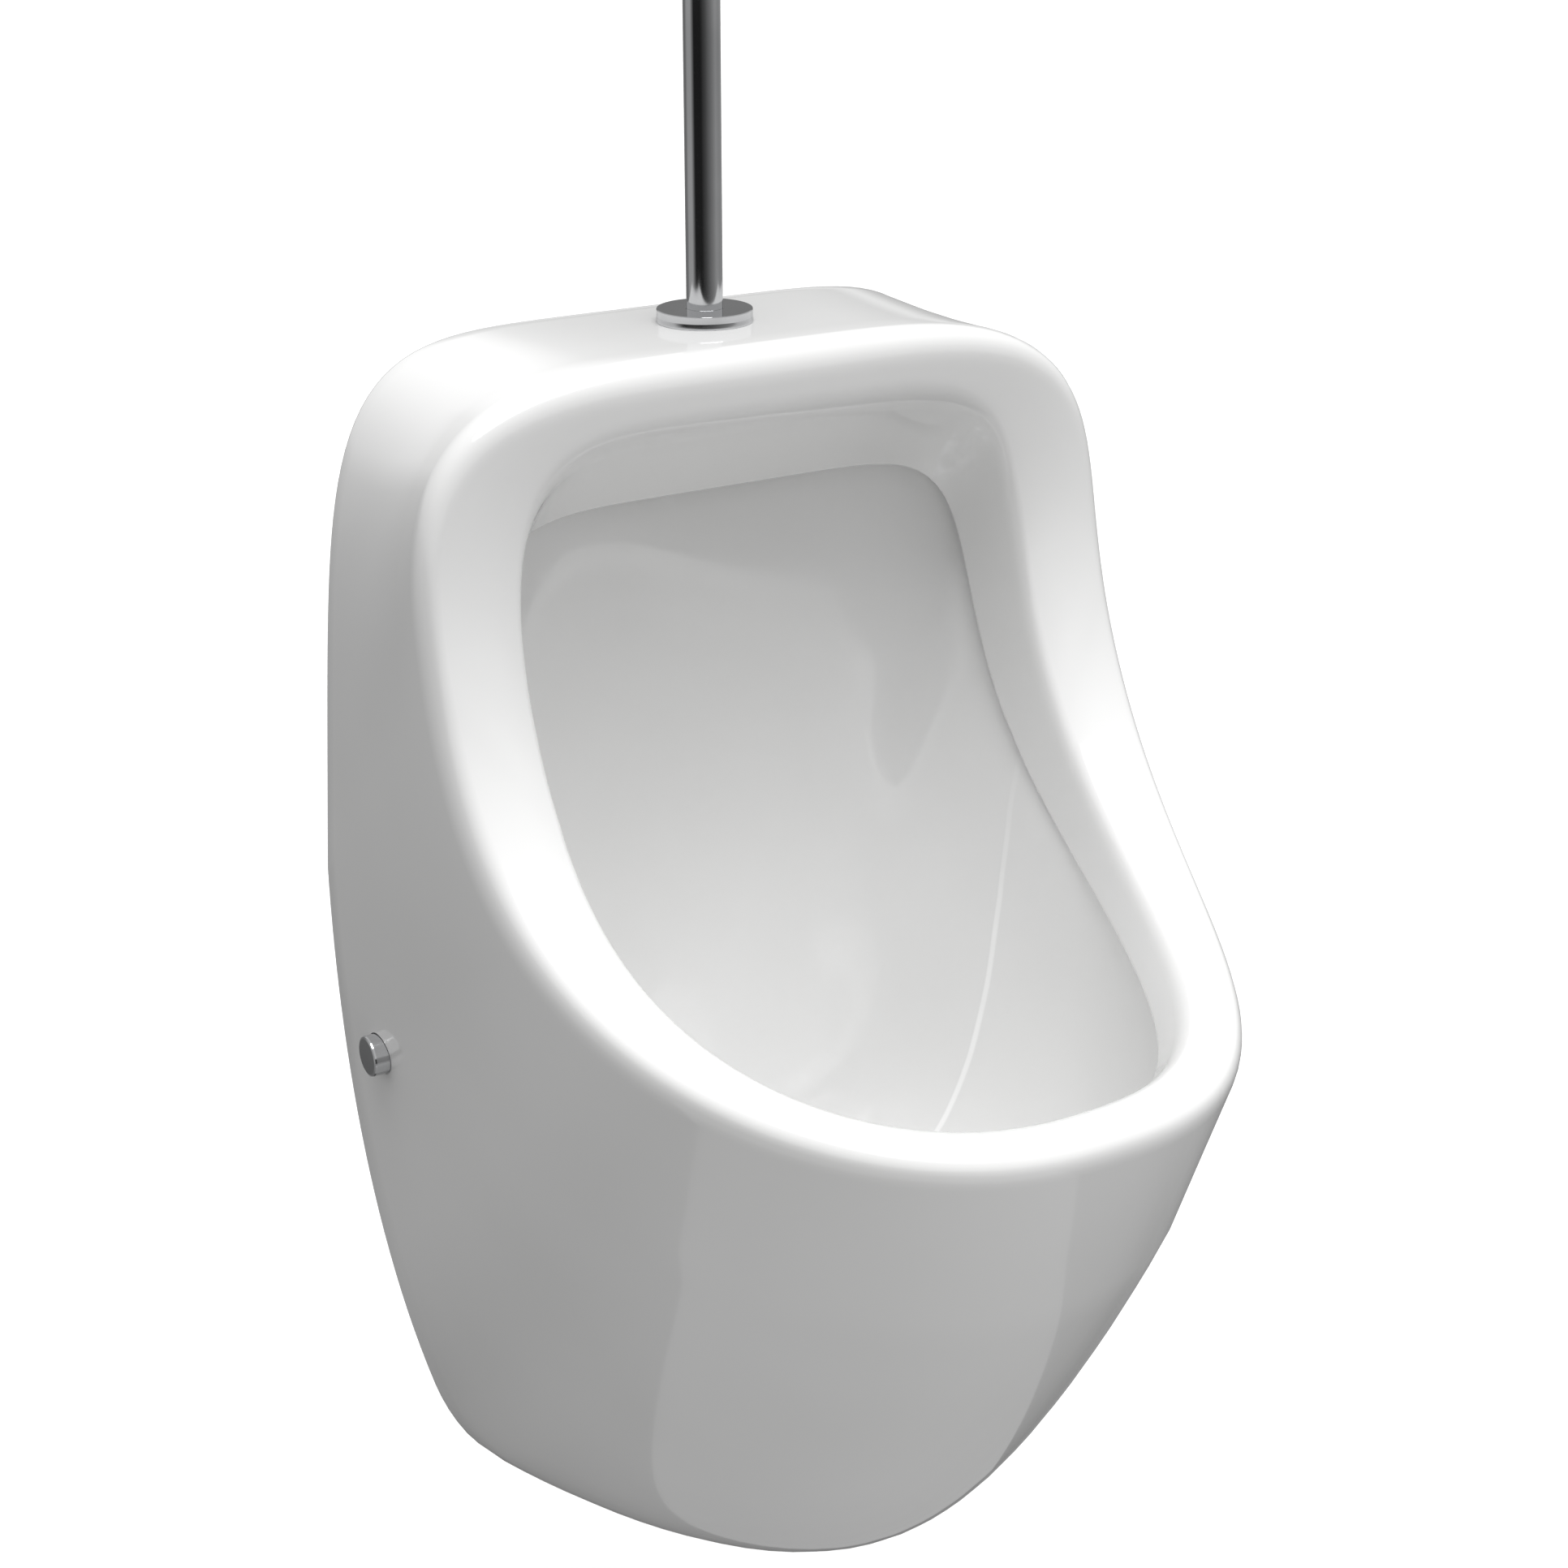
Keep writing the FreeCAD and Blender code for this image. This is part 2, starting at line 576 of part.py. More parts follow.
def strainer():
    """Domed grating with a skirt that stands in the waste's bore."""
    top, sheet, skirt = STRAINER_RISE, STRAINER_SHEET, TAIL_BORE_R - FIT
    outline = [(0, top), (0, top - sheet), (13, top - sheet - 0.9), (skirt - 1.5, top - sheet - 2),
               (skirt - 1.5, -STRAINER_SKIRT), (skirt, -STRAINER_SKIRT), (skirt, 0),
               (STRAINER_R, 0), (STRAINER_R - 1.5, 1.4), (24, 5), (13, top - 0.9)]
    body = turned(outline, (0, OUTLET_Y, FLOOR_Z + FLANGE_SEAL + FLANGE_THICKNESS))
    holes = []
    for count, radius in ((1, 0.0), (6, 7.5), (10, 14.0)):
        for i in range(count):
            turn = 2 * math.pi * i / count
            x, y = radius * math.cos(turn), OUTLET_Y + radius * math.sin(turn)
            holes.append(polygon_prism(STRAINER_HOLE_R, 8, x, y, FLOOR_Z + 4, FLOOR_Z + 30))
    return body.cut(holes)


def outlet_seal():
    z = FLOOR_Z
    return pipe(FLANGE_R - 1, TAIL_R + 1, (0, OUTLET_Y, z), (0, OUTLET_Y, z + FLANGE_SEAL))


def waste_body():
    top, under = FLOOR_Z + FLANGE_SEAL + FLANGE_THICKNESS, FLOOR_Z + FLANGE_SEAL
    outline = [(TAIL_BORE_R, top), (FLANGE_R - 1, top), (FLANGE_R, top - 1), (FLANGE_R, under),
               (TAIL_R, under), (TAIL_R, TAIL_END_Z), (SPIGOT_R, TAIL_END_Z - 2),
               (SPIGOT_R, SPIGOT_END_Z), (SPIGOT_BORE_R, SPIGOT_END_Z),
               (SPIGOT_BORE_R, TAIL_END_Z), (TAIL_BORE_R, TAIL_END_Z + 2)]
    return turned(outline, (0, OUTLET_Y, 0))


def waste_gasket():
    z = FLOOR_Z - FLOOR_THICKNESS
    return pipe(GASKET_R, TAIL_R + FIT, (0, OUTLET_Y, z - UNDER_GASKET), (0, OUTLET_Y, z))


def waste_nut():
    z = FLOOR_Z - FLOOR_THICKNESS - UNDER_GASKET
    return hexagon(WASTE_NUT_ACROSS, TAIL_R + FIT, WASTE_NUT_HEIGHT, (0, OUTLET_Y, z), (0, 0, -1))


# ---------------------------------------------------------------- bottle trap
def trap_nut(nut_r, neck_r, pipe_r, lip, length, at, direction):
    """Union nut over a threaded neck; its lip presses a washer against the pipe."""
    outline = [(pipe_r + CLEAR, 0), (nut_r - 1.5, 0), (nut_r, 1.5), (nut_r, length),
               (neck_r + FIT, length), (neck_r + FIT, lip), (pipe_r + CLEAR, lip)]
    body = turned(outline, at, direction)
    grips = []
    axis = Vector(*direction)
    side = Vector(1, 0, 0)
    for i in range(12):
        out = FreeCAD.Rotation(axis, 30 * i).multVec(side) * (nut_r + 1.6)
        start = Vector(*at) + out + axis * 3
        grips.append(Part.makeCylinder(3.0, length, start, axis))
    return body.cut(grips)


def trap_inlet_nut():
    length = INLET_NUT_TOP_Z - INLET_NUT_END_Z
    return trap_nut(INLET_NUT_R, NECK_R, SPIGOT_R, 4.0, length, (0, OUTLET_Y, INLET_NUT_TOP_Z),
                    (0, 0, -1))


def trap_inlet_washer():
    top, low = INLET_NUT_TOP_Z - 4.0, NECK_TOP_Z
    outline = [(SPIGOT_R + FIT, top), (NECK_R - 0.5, top), (NECK_R - 0.5, low),
               (SPIGOT_R + 2, low), (SPIGOT_R + FIT, low - 2)]
    return turned(outline, (0, OUTLET_Y, 0))


def trap_body():
    inner, tube_bore = TRAP_R - TRAP_WALL, DIP_TUBE_R - 2.0
    outline = [(SPIGOT_R + 2.1, NECK_TOP_Z), (NECK_R, NECK_TOP_Z), (NECK_R, TRAP_TOP_Z),
               (TRAP_R - 2, TRAP_TOP_Z), (TRAP_R, TRAP_TOP_Z - 2), (TRAP_R, TRAP_END_Z),
               (inner, TRAP_END_Z), (inner, TRAP_TOP_Z - 3), (DIP_TUBE_R, TRAP_TOP_Z - 3),
               (DIP_TUBE_R, DIP_TUBE_END_Z), (tube_bore, DIP_TUBE_END_Z),
               (tube_bore, SPIGOT_END_Z - 2), (SPIGOT_R + 2.1, SPIGOT_END_Z - 2)]
    body = turned(outline, (0, OUTLET_Y, 0))
    z, end = SIDE_OUTLET_Z, OUTLET_Y + SIDE_NECK_END
    neck = rod(SIDE_NECK_R, (0, OUTLET_Y + TRAP_R - 6, z), (0, end, z))
    neck = neck.cut(rod(TRAP_R - 0.5, (0, OUTLET_Y, TRAP_END_Z), (0, OUTLET_Y, TRAP_TOP_Z)))
    bore = rod(OUTLET_PIPE_R + 1.6, (0, OUTLET_Y + TRAP_R - 8, z), (0, end, z))
    bore = bore.cut(rod(inner, (0, OUTLET_Y, TRAP_END_Z - 1), (0, OUTLET_Y, TRAP_TOP_Z)))
    return body.fuse(neck).cut(bore)


def trap_cup():
    inside, outside = TRAP_R + FIT, TRAP_R + CUP_WALL
    seat = TRAP_END_Z - CUP_SEAL
    outline = [(0, CUP_BOTTOM_Z), (outside - 5, CUP_BOTTOM_Z), (outside - 1.5, CUP_BOTTOM_Z + 1.5),
               (outside, CUP_BOTTOM_Z + 5), (outside, CUP_TOP_Z), (inside, CUP_TOP_Z),
               (inside, seat), (CUP_LEDGE_R, seat), (CUP_LEDGE_R, CUP_BOTTOM_Z + 5),
               (CUP_LEDGE_R - 2.5, CUP_BOTTOM_Z + 2.5), (0, CUP_BOTTOM_Z + 2.5)]
    body = turned(outline, (0, OUTLET_Y, 0))
    grips = []
    for i in range(16):
        turn = 2 * math.pi * i / 16
        x, y = (outside + 1.4) * math.cos(turn), OUTLET_Y + (outside + 1.4) * math.sin(turn)
        grips.append(rod(2.6, (x, y, CUP_BOTTOM_Z - 1), (x, y, CUP_TOP_Z - 4)))
    return body.cut(grips)


def trap_cup_seal():
    z = TRAP_END_Z
    return pipe(TRAP_R - CLEAR, CUP_LEDGE_R + 0.6, (0, OUTLET_Y, z - CUP_SEAL), (0, OUTLET_Y, z))


def outlet_nut():
    at = (0, OUTLET_Y + SIDE_NECK_END + 8, SIDE_OUTLET_Z)
    return trap_nut(OUTLET_NUT_R, SIDE_NECK_R, OUTLET_PIPE_R, 4.0, 21.0, at, (0, -1, 0))


def outlet_washer():
    at = (0, OUTLET_Y + SIDE_NECK_END, SIDE_OUTLET_Z)
    outline = [(OUTLET_PIPE_R + FIT, 4), (SIDE_NECK_R - 0.5, 4), (SIDE_NECK_R - 0.5, 0),
               (OUTLET_PIPE_R + 1.5, 0), (OUTLET_PIPE_R + FIT, -2)]
    return turned(outline, at, (0, 1, 0))


def outlet_pipe():
    start = (0, OUTLET_Y + SIDE_NECK_END - 14, SIDE_OUTLET_Z)
    end = (0, OUTLET_INTO_WALL, SIDE_OUTLET_Z)
    return pipe(OUTLET_PIPE_R, OUTLET_PIPE_R - OUTLET_PIPE_WALL, start, end)


def outlet_wall_plate():
    bore, r = OUTLET_PIPE_R + FIT, WALL_PLATE_R
    outline = [(bore, 0), (r, 0), (r, 1.5), (r - 6, WALL_PLATE), (bore, WALL_PLATE)]
    return turned(outline, (0, 0, SIDE_OUTLET_Z), (0, -1, 0))


def outlet_connector():
    bore, r = OUTLET_PIPE_R + FIT, CONNECTOR_R
    outline = [(bore, 0), (r + 2, 0), (r + 2, 3), (r, 3), (r, CONNECTOR_LENGTH - 3),
               (r - 2, CONNECTOR_LENGTH), (bore, CONNECTOR_LENGTH)]
    return turned(outline, (0, 0, SIDE_OUTLET_Z), (0, 1, 0))


# ---------------------------------------------------------------- wall fixings
def bracket_places():
    return [(side * BRACKET_SCREW_X, 0, row * BRACKET_SCREW_PITCH / 2)
            for side in (-1, 1) for row in (-1, 1)]


def hanger_places():
    return [(side * HANGER_X, 0, HANGER_SCREW_Z + row * HANGER_SCREW_PITCH / 2)
            for side in (-1, 1) for row in (-1, 1)]


def clamp_bracket(side):
    h, lug = BRACKET_HALF_HEIGHT, BRACKET_LUG_X
    plate = block(lug - BRACKET_WIDTH, lug, -SHEET, 0, -h, h)
    arm = block(lug - SHEET, lug, -BRACKET_REACH, 0, -h + 6, h - 6)
    corners = [e for e in arm.Edges if abs(e.BoundBox.YMax + BRACKET_REACH) < 0.01 and e.Length < 5]
    body = plate.fuse(arm.makeFillet(9.0, corners)).removeSplitter()
    holes = [rod(SCREW_R + FIT, (lug - 20, FIX_Y, 0), (lug + 5, FIX_Y, 0))]
    for row in (-1, 1):
        z = row * BRACKET_SCREW_PITCH / 2
        holes.append(rod(WALL_SCREW_R + CLEAR, (BRACKET_SCREW_X, -9, z), (BRACKET_SCREW_X, 5, z)))
    return mirrored(body.cut(holes), side)


def hanger(side):
    x0, x1, t = HANGER_X - HANGER_HALF_WIDTH, HANGER_X + HANGER_HALF_WIDTH, SHEET
    top = HANGER_TOP_Z
    plate = block(x0, x1, -t, 0, top - HANGER_HEIGHT, top)
    arm = block(x0, x1, -HANGER_REACH, 0, top - t, top)
    web = [(-t, top - t), (-t, top - HANGER_GUSSET), (-HANGER_REACH + 6, top - t)]
    gusset = prism(web, t / 2, x1 - t / 2)
    body = plate.fuse([arm, gusset]).removeSplitter()
    holes = []
    for row in (-1, 1):
        z = HANGER_SCREW_Z + row * HANGER_SCREW_PITCH / 2
        holes.append(rod(WALL_SCREW_R + CLEAR, (HANGER_X, -9, z), (HANGER_X, 5, z)))
    return mirrored(body.cut(holes), side)


def hanger_pads():
    x0, x1, z = HANGER_X - HANGER_HALF_WIDTH, HANGER_X + HANGER_HALF_WIDTH, HANGER_TOP_Z
    pad = block(x0 + 1, x1 - 1, -HANGER_REACH + 1, -6, z, z + HANGER_PAD)
    return Part.makeCompound([mirrored(pad, side) for side in (-1, 1)])


def wall_screws(places):
    face = -SHEET - WASHER
    head = hexagon(WALL_HEAD_ACROSS, 0, WALL_HEAD, (0, face, 0), (0, -1, 0))
    neck = rod(WALL_NECK_R, (0, face - 1, 0), (0, 1, 0))
    thread = rod(WALL_SCREW_R, (0, 0, 0), (0, face + WALL_SCREW_LENGTH, 0))
    return at_pitch(head.fuse([neck, thread]), places)


def wall_washers(places):
    washer = pipe(WASHER_R, WALL_SCREW_R + FIT, (0, -SHEET - WASHER, 0), (0, -SHEET, 0))
    return at_pitch(washer, places)


def clamp_screw(side):
    face = FIX_SEAT_X + SLEEVE_FLANGE
    head = hexagon(SCREW_HEAD_ACROSS, 0, SCREW_HEAD, (face, FIX_Y, 0), (1, 0, 0))
    shank = rod(SCREW_R, (BRACKET_LUG_X - SHEET - LUG_NUT - 3, FIX_Y, 0), (face + 1, FIX_Y, 0))
    return mirrored(head.fuse(shank), side)


def clamp_sleeve(side):
    flange = pipe(SLEEVE_FLANGE_R, SCREW_R + FIT, (FIX_SEAT_X, FIX_Y, 0),
                  (FIX_SEAT_X + SLEEVE_FLANGE, FIX_Y, 0))
    tube = pipe(SLEEVE_R, SCREW_R + FIT, (BRACKET_LUG_X, FIX_Y, 0), (FIX_SEAT_X + 1, FIX_Y, 0))
    return mirrored(flange.fuse(tube), side)


def lug_nuts():
    x = BRACKET_LUG_X - SHEET
    nut = hexagon(SCREW_HEAD_ACROSS, SCREW_R + FIT, LUG_NUT, (x, FIX_Y, 0), (-1, 0, 0))
    return Part.makeCompound([mirrored(nut, side) for side in (-1, 1)])


def cover_cap(side):
    inside, top = CAP_R - CAP_SKIN, CAP_HEIGHT
    outline = [(0, top), (CAP_R - 1.2, top), (CAP_R - 0.3, top - 0.4), (CAP_R, top - 1.2),
               (CAP_R, 0), (inside, 0), (inside, top - CAP_SKIN), (0, top - CAP_SKIN)]
    return mirrored(turned(outline, (FIX_SEAT_X, FIX_Y, 0), (1, 0, 0)), side)


# ---------------------------------------------------------------- all pieces
def pieces():
    return {
        "ceramic_body": ceramic_body(), "flush_pipe": flush_pipe(),
        "union_nut": union_nut(), "union_ring": union_ring(),
        "pipe_rosette": pipe_rosette(), "inlet_seal": inlet_seal(),
        "inlet_spreader": inlet_spreader(), "strainer": strainer(),
        "outlet_seal": outlet_seal(), "waste_body": waste_body(),
        "waste_gasket": waste_gasket(), "waste_nut": waste_nut(),
        "trap_inlet_nut": trap_inlet_nut(), "trap_inlet_washer": trap_inlet_washer(),
        "trap_body": trap_body(), "trap_cup": trap_cup(), "trap_cup_seal": trap_cup_seal(),
        "outlet_nut": outlet_nut(), "outlet_washer": outlet_washer(),
        "outlet_pipe": outlet_pipe(), "outlet_wall_plate": outlet_wall_plate(),
        "outlet_connector": outlet_connector(),
        "clamp_bracket_left": clamp_bracket(-1), "clamp_bracket_right": clamp_bracket(1),
        "hanger_left": hanger(-1), "hanger_right": hanger(1), "hanger_pads": hanger_pads(),
        "bracket_screws": wall_screws(bracket_places()),
        "bracket_washers": wall_washers(bracket_places()),
        "hanger_screws": wall_screws(hanger_places()),
        "hanger_washers": wall_washers(hanger_places()),
        "lug_nuts": lug_nuts(),
        "clamp_screw_left": clamp_screw(-1), "clamp_screw_right": clamp_screw(1),
        "clamp_sleeve_left": clamp_sleeve(-1), "clamp_sleeve_right": clamp_sleeve(1),
        "cover_cap_left": cover_cap(-1), "cover_cap_right": cover_cap(1),
    }


os.makedirs("parts", exist_ok=True)
for name, shape in pieces().items():
    shape.exportStep(os.path.join("parts", name + ".step"))
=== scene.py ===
"""Wall hung bowl urinal in a white studio.

Glazed ceramic with a chrome flush pipe, its rosette and the side caps; behind and below it the
strainer, waste, bottle trap, brackets and wall screws.
"""
import json
import math

import bmesh
import bpy
from mathutils import Matrix, Vector


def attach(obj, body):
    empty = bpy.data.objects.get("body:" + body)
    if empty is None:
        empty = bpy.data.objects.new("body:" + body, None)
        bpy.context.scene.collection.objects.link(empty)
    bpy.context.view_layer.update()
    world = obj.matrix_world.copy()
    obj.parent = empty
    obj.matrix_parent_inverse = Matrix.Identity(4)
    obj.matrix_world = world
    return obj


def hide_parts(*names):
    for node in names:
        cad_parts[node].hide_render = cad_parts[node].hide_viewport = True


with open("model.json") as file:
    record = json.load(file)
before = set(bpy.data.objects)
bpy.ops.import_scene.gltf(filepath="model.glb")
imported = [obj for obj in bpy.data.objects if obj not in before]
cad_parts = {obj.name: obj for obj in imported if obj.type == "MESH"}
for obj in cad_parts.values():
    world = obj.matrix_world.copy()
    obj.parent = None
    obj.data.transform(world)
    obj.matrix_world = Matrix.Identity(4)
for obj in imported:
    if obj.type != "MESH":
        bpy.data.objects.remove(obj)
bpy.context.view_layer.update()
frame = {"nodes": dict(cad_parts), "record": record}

MM = 0.001

# ---------------------------------------------------------------- ceramic, millimetres
# side views (y, z) of the rim's outer edge, of its face's inner edge, and of the flush rim's
# lower edge, each the four control points of a cubic curve from the top to the front
RIDGE_PROFILE = [(-119, 355), (-113, 156), (-195, 69), (-402, 67)]
MOUTH_PROFILE = [(-118, 321), (-112, 161), (-196, 70), (-372, 69)]
LEDGE_PROFILE = [(-71, 276), (-78, 134), (-174, 54), (-360, 46)]
RIDGE_HALF_WIDTH = 191.0
MOUTH_HALF_WIDTH = 141.0
LEDGE_HALF_WIDTH = 139.0
WALL_HALF_WIDTH = 196.0
# front views: share of the side view at the widest place, squareness above and below it,
# and for the wall how much narrower the top is
RIDGE_FORM = (0.26, 4.5, 2.5)
MOUTH_FORM = (0.45, 6.0, 2.5)
LEDGE_FORM = (0.45, 6.5, 2.4)
WALL_FORM = (0.34, 6.0, 2.0, 0.085)
TOP_Z = 355.0
BOTTOM_Z = -264.0
BOTTOM_FRONT_Y = -176.0
BOTTOM_CORNER = 30.0
# the keel is the hull's line from the front of the rim down and back to the bottom
KEEL_SIDE_STEP = 0.6          # share of the sideways start that is lost there
KEEL_LEAD = (15.0, -97.0)     # y and z by which its curve leaves the rim
KEEL_TAIL = (69.0, 38.0)      # y and z by which its curve comes to the bottom's front edge
CERAMIC_WALL = 10.0
BACK_EDGE = 13.0
EDGE_ROUND = 2.5
RIM_CORE = 13.0
BOWL_BACK_Y = -42.0
BOWL_TUCK = 14.0
# rings of the bowl from low to high: inset of the sides, (inset, height) of the back, height of
# the middle, (inset, height) of the front, and the form where it isn't the common one
BOWL_RINGS = [(73, (24, -98), -104, (162, -102)), (47, (12, -72), -84, (114, -86)),
              (25, (6, -30), -50, (56, -58)), (9, (2, 40), 0, (16, -16)),
              (0, (0, 150), 70, (0, 14), 0.42, 4.0)]
BOWL_LOW_POWER = 2.3
BOWL_SAG = (0.3, 0.7)         # shares of the depth where the side view's inner points lie
RIDGE_ROUND = 17.0
MOUTH_ROUND = 10.0
LEDGE_ROUND = 2.5
LEDGE_THICKNESS = 9.0
LEDGE_SLACK = (6.0, -8.0)     # y and z by which the hollow keeps clear of the ledge in front
OUTLET_Y = -126.0
FLOOR_Z = -112.0
FLOOR_THICKNESS = 15.0
FLOOR_LAND = 12.0             # flat ring under the floor round the recess
RECESS_R = 40.0
RECESS_DEPTH = 5.0
RECESS_LAND = 5.0             # flat ring of the floor round the recess
OUTLET_HOLE_R = 26.0
PIPE_Y = -48.5
INLET_HOLE_R = 17.5
CHAMBER_HALF_WIDTH = 58.0
CHAMBER_WALL = 9.0
CHAMBER_BACK_Y = -22.0
CHAMBER_FLOOR = 16.0          # height of the floor above the ledge
CHAMBER_FRONT = (20.0, 11.0)  # y and z from the mouth's edge to the lower front corner
RIM_HOLE_R = 3.0
RIM_HOLE_PITCH = 17.0
RIM_HOLES_EACH_SIDE = 3       # of the middle one
FIX_Y = -40.0
FIX_SEAT_X = 188.0
FIX_PAD_R = 15.0
FIX_PAD = 15.0
FIX_HOLE_R = 7.0
CAP_R = 10.6
CAP_ROOM = 0.6
HANGER_X = 106.0
HANGER_TOP_Z = 322.0
HANGER_PAD = 2.0
HANGER_LUG_HALF_WIDTH = 24.0
HANGER_LUG_REACH = 52.0
# how far the upright cutting rods reach below and above the face that they start from
INLET_CUT = (-20.0, 9.0)
OUTLET_CUT = (-40.0, 1.0)
RIM_HOLE_CUT = (-8.0, 26.0)
RECESS_CUT = (0.0, 20.0)
PAD_PAST = 20.0               # how far the side pads reach out, into the wall
BACK_PAST = 2.0               # how far the hollow reaches out of the back, and the lugs stay in

# ---------------------------------------------------------------- steps of the ceramic's mesh
RING_STEPS = 48               # per quarter of a ring
FINE_STEPS = 600              # per quarter, before the steps are spread
BEND_LENGTH = 25.0            # millimetres that one radian of turning counts for
HULL_STEPS = 24
HULL_FIRST = 6                # the hull's first ring clear of the rounded ridge
HOLLOW_STEPS = 8
BOWL_STEPS = 8
RIDGE_STEPS = 8
MOUTH_STEPS = 6
EDGE_STEPS = 3
FACE_SHARES = (0.33, 0.67)

# ---------------------------------------------------------------- fittings, millimetres
FLANGE_TOP_Z = -107.5         # top of the outlet flange, where the strainer lies
TAIL_BORE_R = 19.5
PIPE_R = 9.0
ROSETTE_R = 24.0
ROSETTE_HEIGHT = 6.5
ROSETTE_SKIN = 1.2
STRAINER_R = 33.0
STRAINER_RISE = 7.0
STRAINER_SHEET = 1.5
STRAINER_SKIRT = 9.0
STRAINER_HOLE_R = 1.9
STRAINER_PITCH = 5.2
STRAINER_RINGS = 3            # of holes, round the middle one
DRILL_LENGTH = 50.0
DRILL_RISE = 12.0             # of the drills' middle above the flange
FIT = 0.05
SHEET = 4.0
WASHER = 1.4
BRACKET_SCREW_X = 148.0
BRACKET_SCREW_Z = 0.0
BRACKET_SCREW_PITCH = 34.0
HANGER_SCREW_Z = 290.0
HANGER_SCREW_PITCH = 24.0
WALL_SCREW_R = 3.0
WALL_SCREW_CORE_R = WALL_SCREW_R * 0.76
WALL_SCREW_NECK_R = WALL_SCREW_R * 0.9
WALL_SCREW_LENGTH = 48.0
WALL_SCREW_TIP = 5.0
WALL_SCREW_POINT_R = 0.3
WALL_HEAD_ACROSS = 10.0
WALL_HEAD_CORNER_R = WALL_HEAD_ACROSS / 1.732
WALL_HEAD = 4.0
WALL_HEAD_CHAMFER = (0.8, 0.7)
THREAD_PITCH = 2.6
THREAD_START = 0.5
THREAD_END = 6.0              # before the tip

# ---------------------------------------------------------------- painted highlight line in the bowl's glaze
# a faint painted highlight line down both sides of the bowl, also raised as a low bump ridge,
# millimetres
HIGHLIGHT_LINE_Y = -128.5
HIGHLIGHT_LINE_LEAN = 0.03
HIGHLIGHT_LINE_WAVER = 2.0
HIGHLIGHT_LINE_HALF_WIDTH = 1.1
HIGHLIGHT_LINE_EDGE = 1.25              # over which it ends to the sides
HIGHLIGHT_LINE_HALF_REACH = 146.0       # in x: inside the bowl only
HIGHLIGHT_LINE_LOW_Z = -104.0
HIGHLIGHT_LINE_TOP_Z = 135.0
HIGHLIGHT_LINE_FADE = 9.0               # per metre, below its top

# ---------------------------------------------------------------- room and camera of the photo
LIP_Z = 69.0
LIP_ABOVE_FLOOR = 650.0
FLOOR_REACH = 40              # metres
CAMERA_PLACE = (-667.2, -1206.8, 640.0)
CAMERA_TURN = 31.61
CAMERA_DROP = 21.62
LENS = 63.03
SENSOR = 36.0
CLIP = (0.05, 50)             # metres
AIR_STRENGTH = 0.527
# brightness of the air round the horizon, by the angle from the camera towards its right
PANELS = [(-180, 0.62), (-126, 0.3), (-102, 0.7), (-74, 0.7), (-60, 0.28), (-50, 0.03),
          (-8, 0.03), (20, 0.14), (41, 0.28), (60, 0.4), (88, 0.62), (121, 0.54), (179, 0.62)]
# brightness of the air by height, from straight down (0) over the horizon (0.5) to straight up
HEIGHTS = [(0.0, 0.2), (0.15, 0.33), (0.32, 1.1), (0.55, 1.2), (1.0, 1.15)]
BACKDROP = 0.38               # brightness of the panel behind the object, which flat metal mirrors
# where panels and backdrop begin and end, by the sine of the height, each with its sharpness
PANELS_SPAN = (-0.62, 8.0, 0.12, 8.0)
BACKDROP_SPAN = (0.08, 20.0, 0.36, 12.0)
BACKDROP_BEHIND = (-0.75, 8.0)        # the same for how far behind the object it begins


# ---------------------------------------------------------------- node trees
class Socket:
    """A number socket that takes part in Python arithmetic by adding Math nodes."""

    def __init__(self, nodes, link):
        self.nodes, self.link = nodes, link

    def __add__(self, other):
        return self.nodes.maths("ADD", self, other)

    def __radd__(self, other):
        return self.nodes.maths("ADD", other, self)

    def __sub__(self, other):
        return self.nodes.maths("SUBTRACT", self, other)

    def __rsub__(self, other):
        return self.nodes.maths("SUBTRACT", other, self)

    def __mul__(self, other):
        return self.nodes.maths("MULTIPLY", self, other)

    def __rmul__(self, other):
        return self.nodes.maths("MULTIPLY", other, self)

    def __lt__(self, other):
        return self.nodes.maths("LESS_THAN", self, other)

    def __gt__(self, other):
        return self.nodes.maths("GREATER_THAN", self, other)

    def __abs__(self):
        return self.nodes.maths("ABSOLUTE", self)


class Outputs:
    """The output sockets of a node, by index or name."""

    def __init__(self, nodes, made):
        self.nodes, self.made = nodes, made

    def __getitem__(self, key):
        return Socket(self.nodes, self.made.outputs[key])


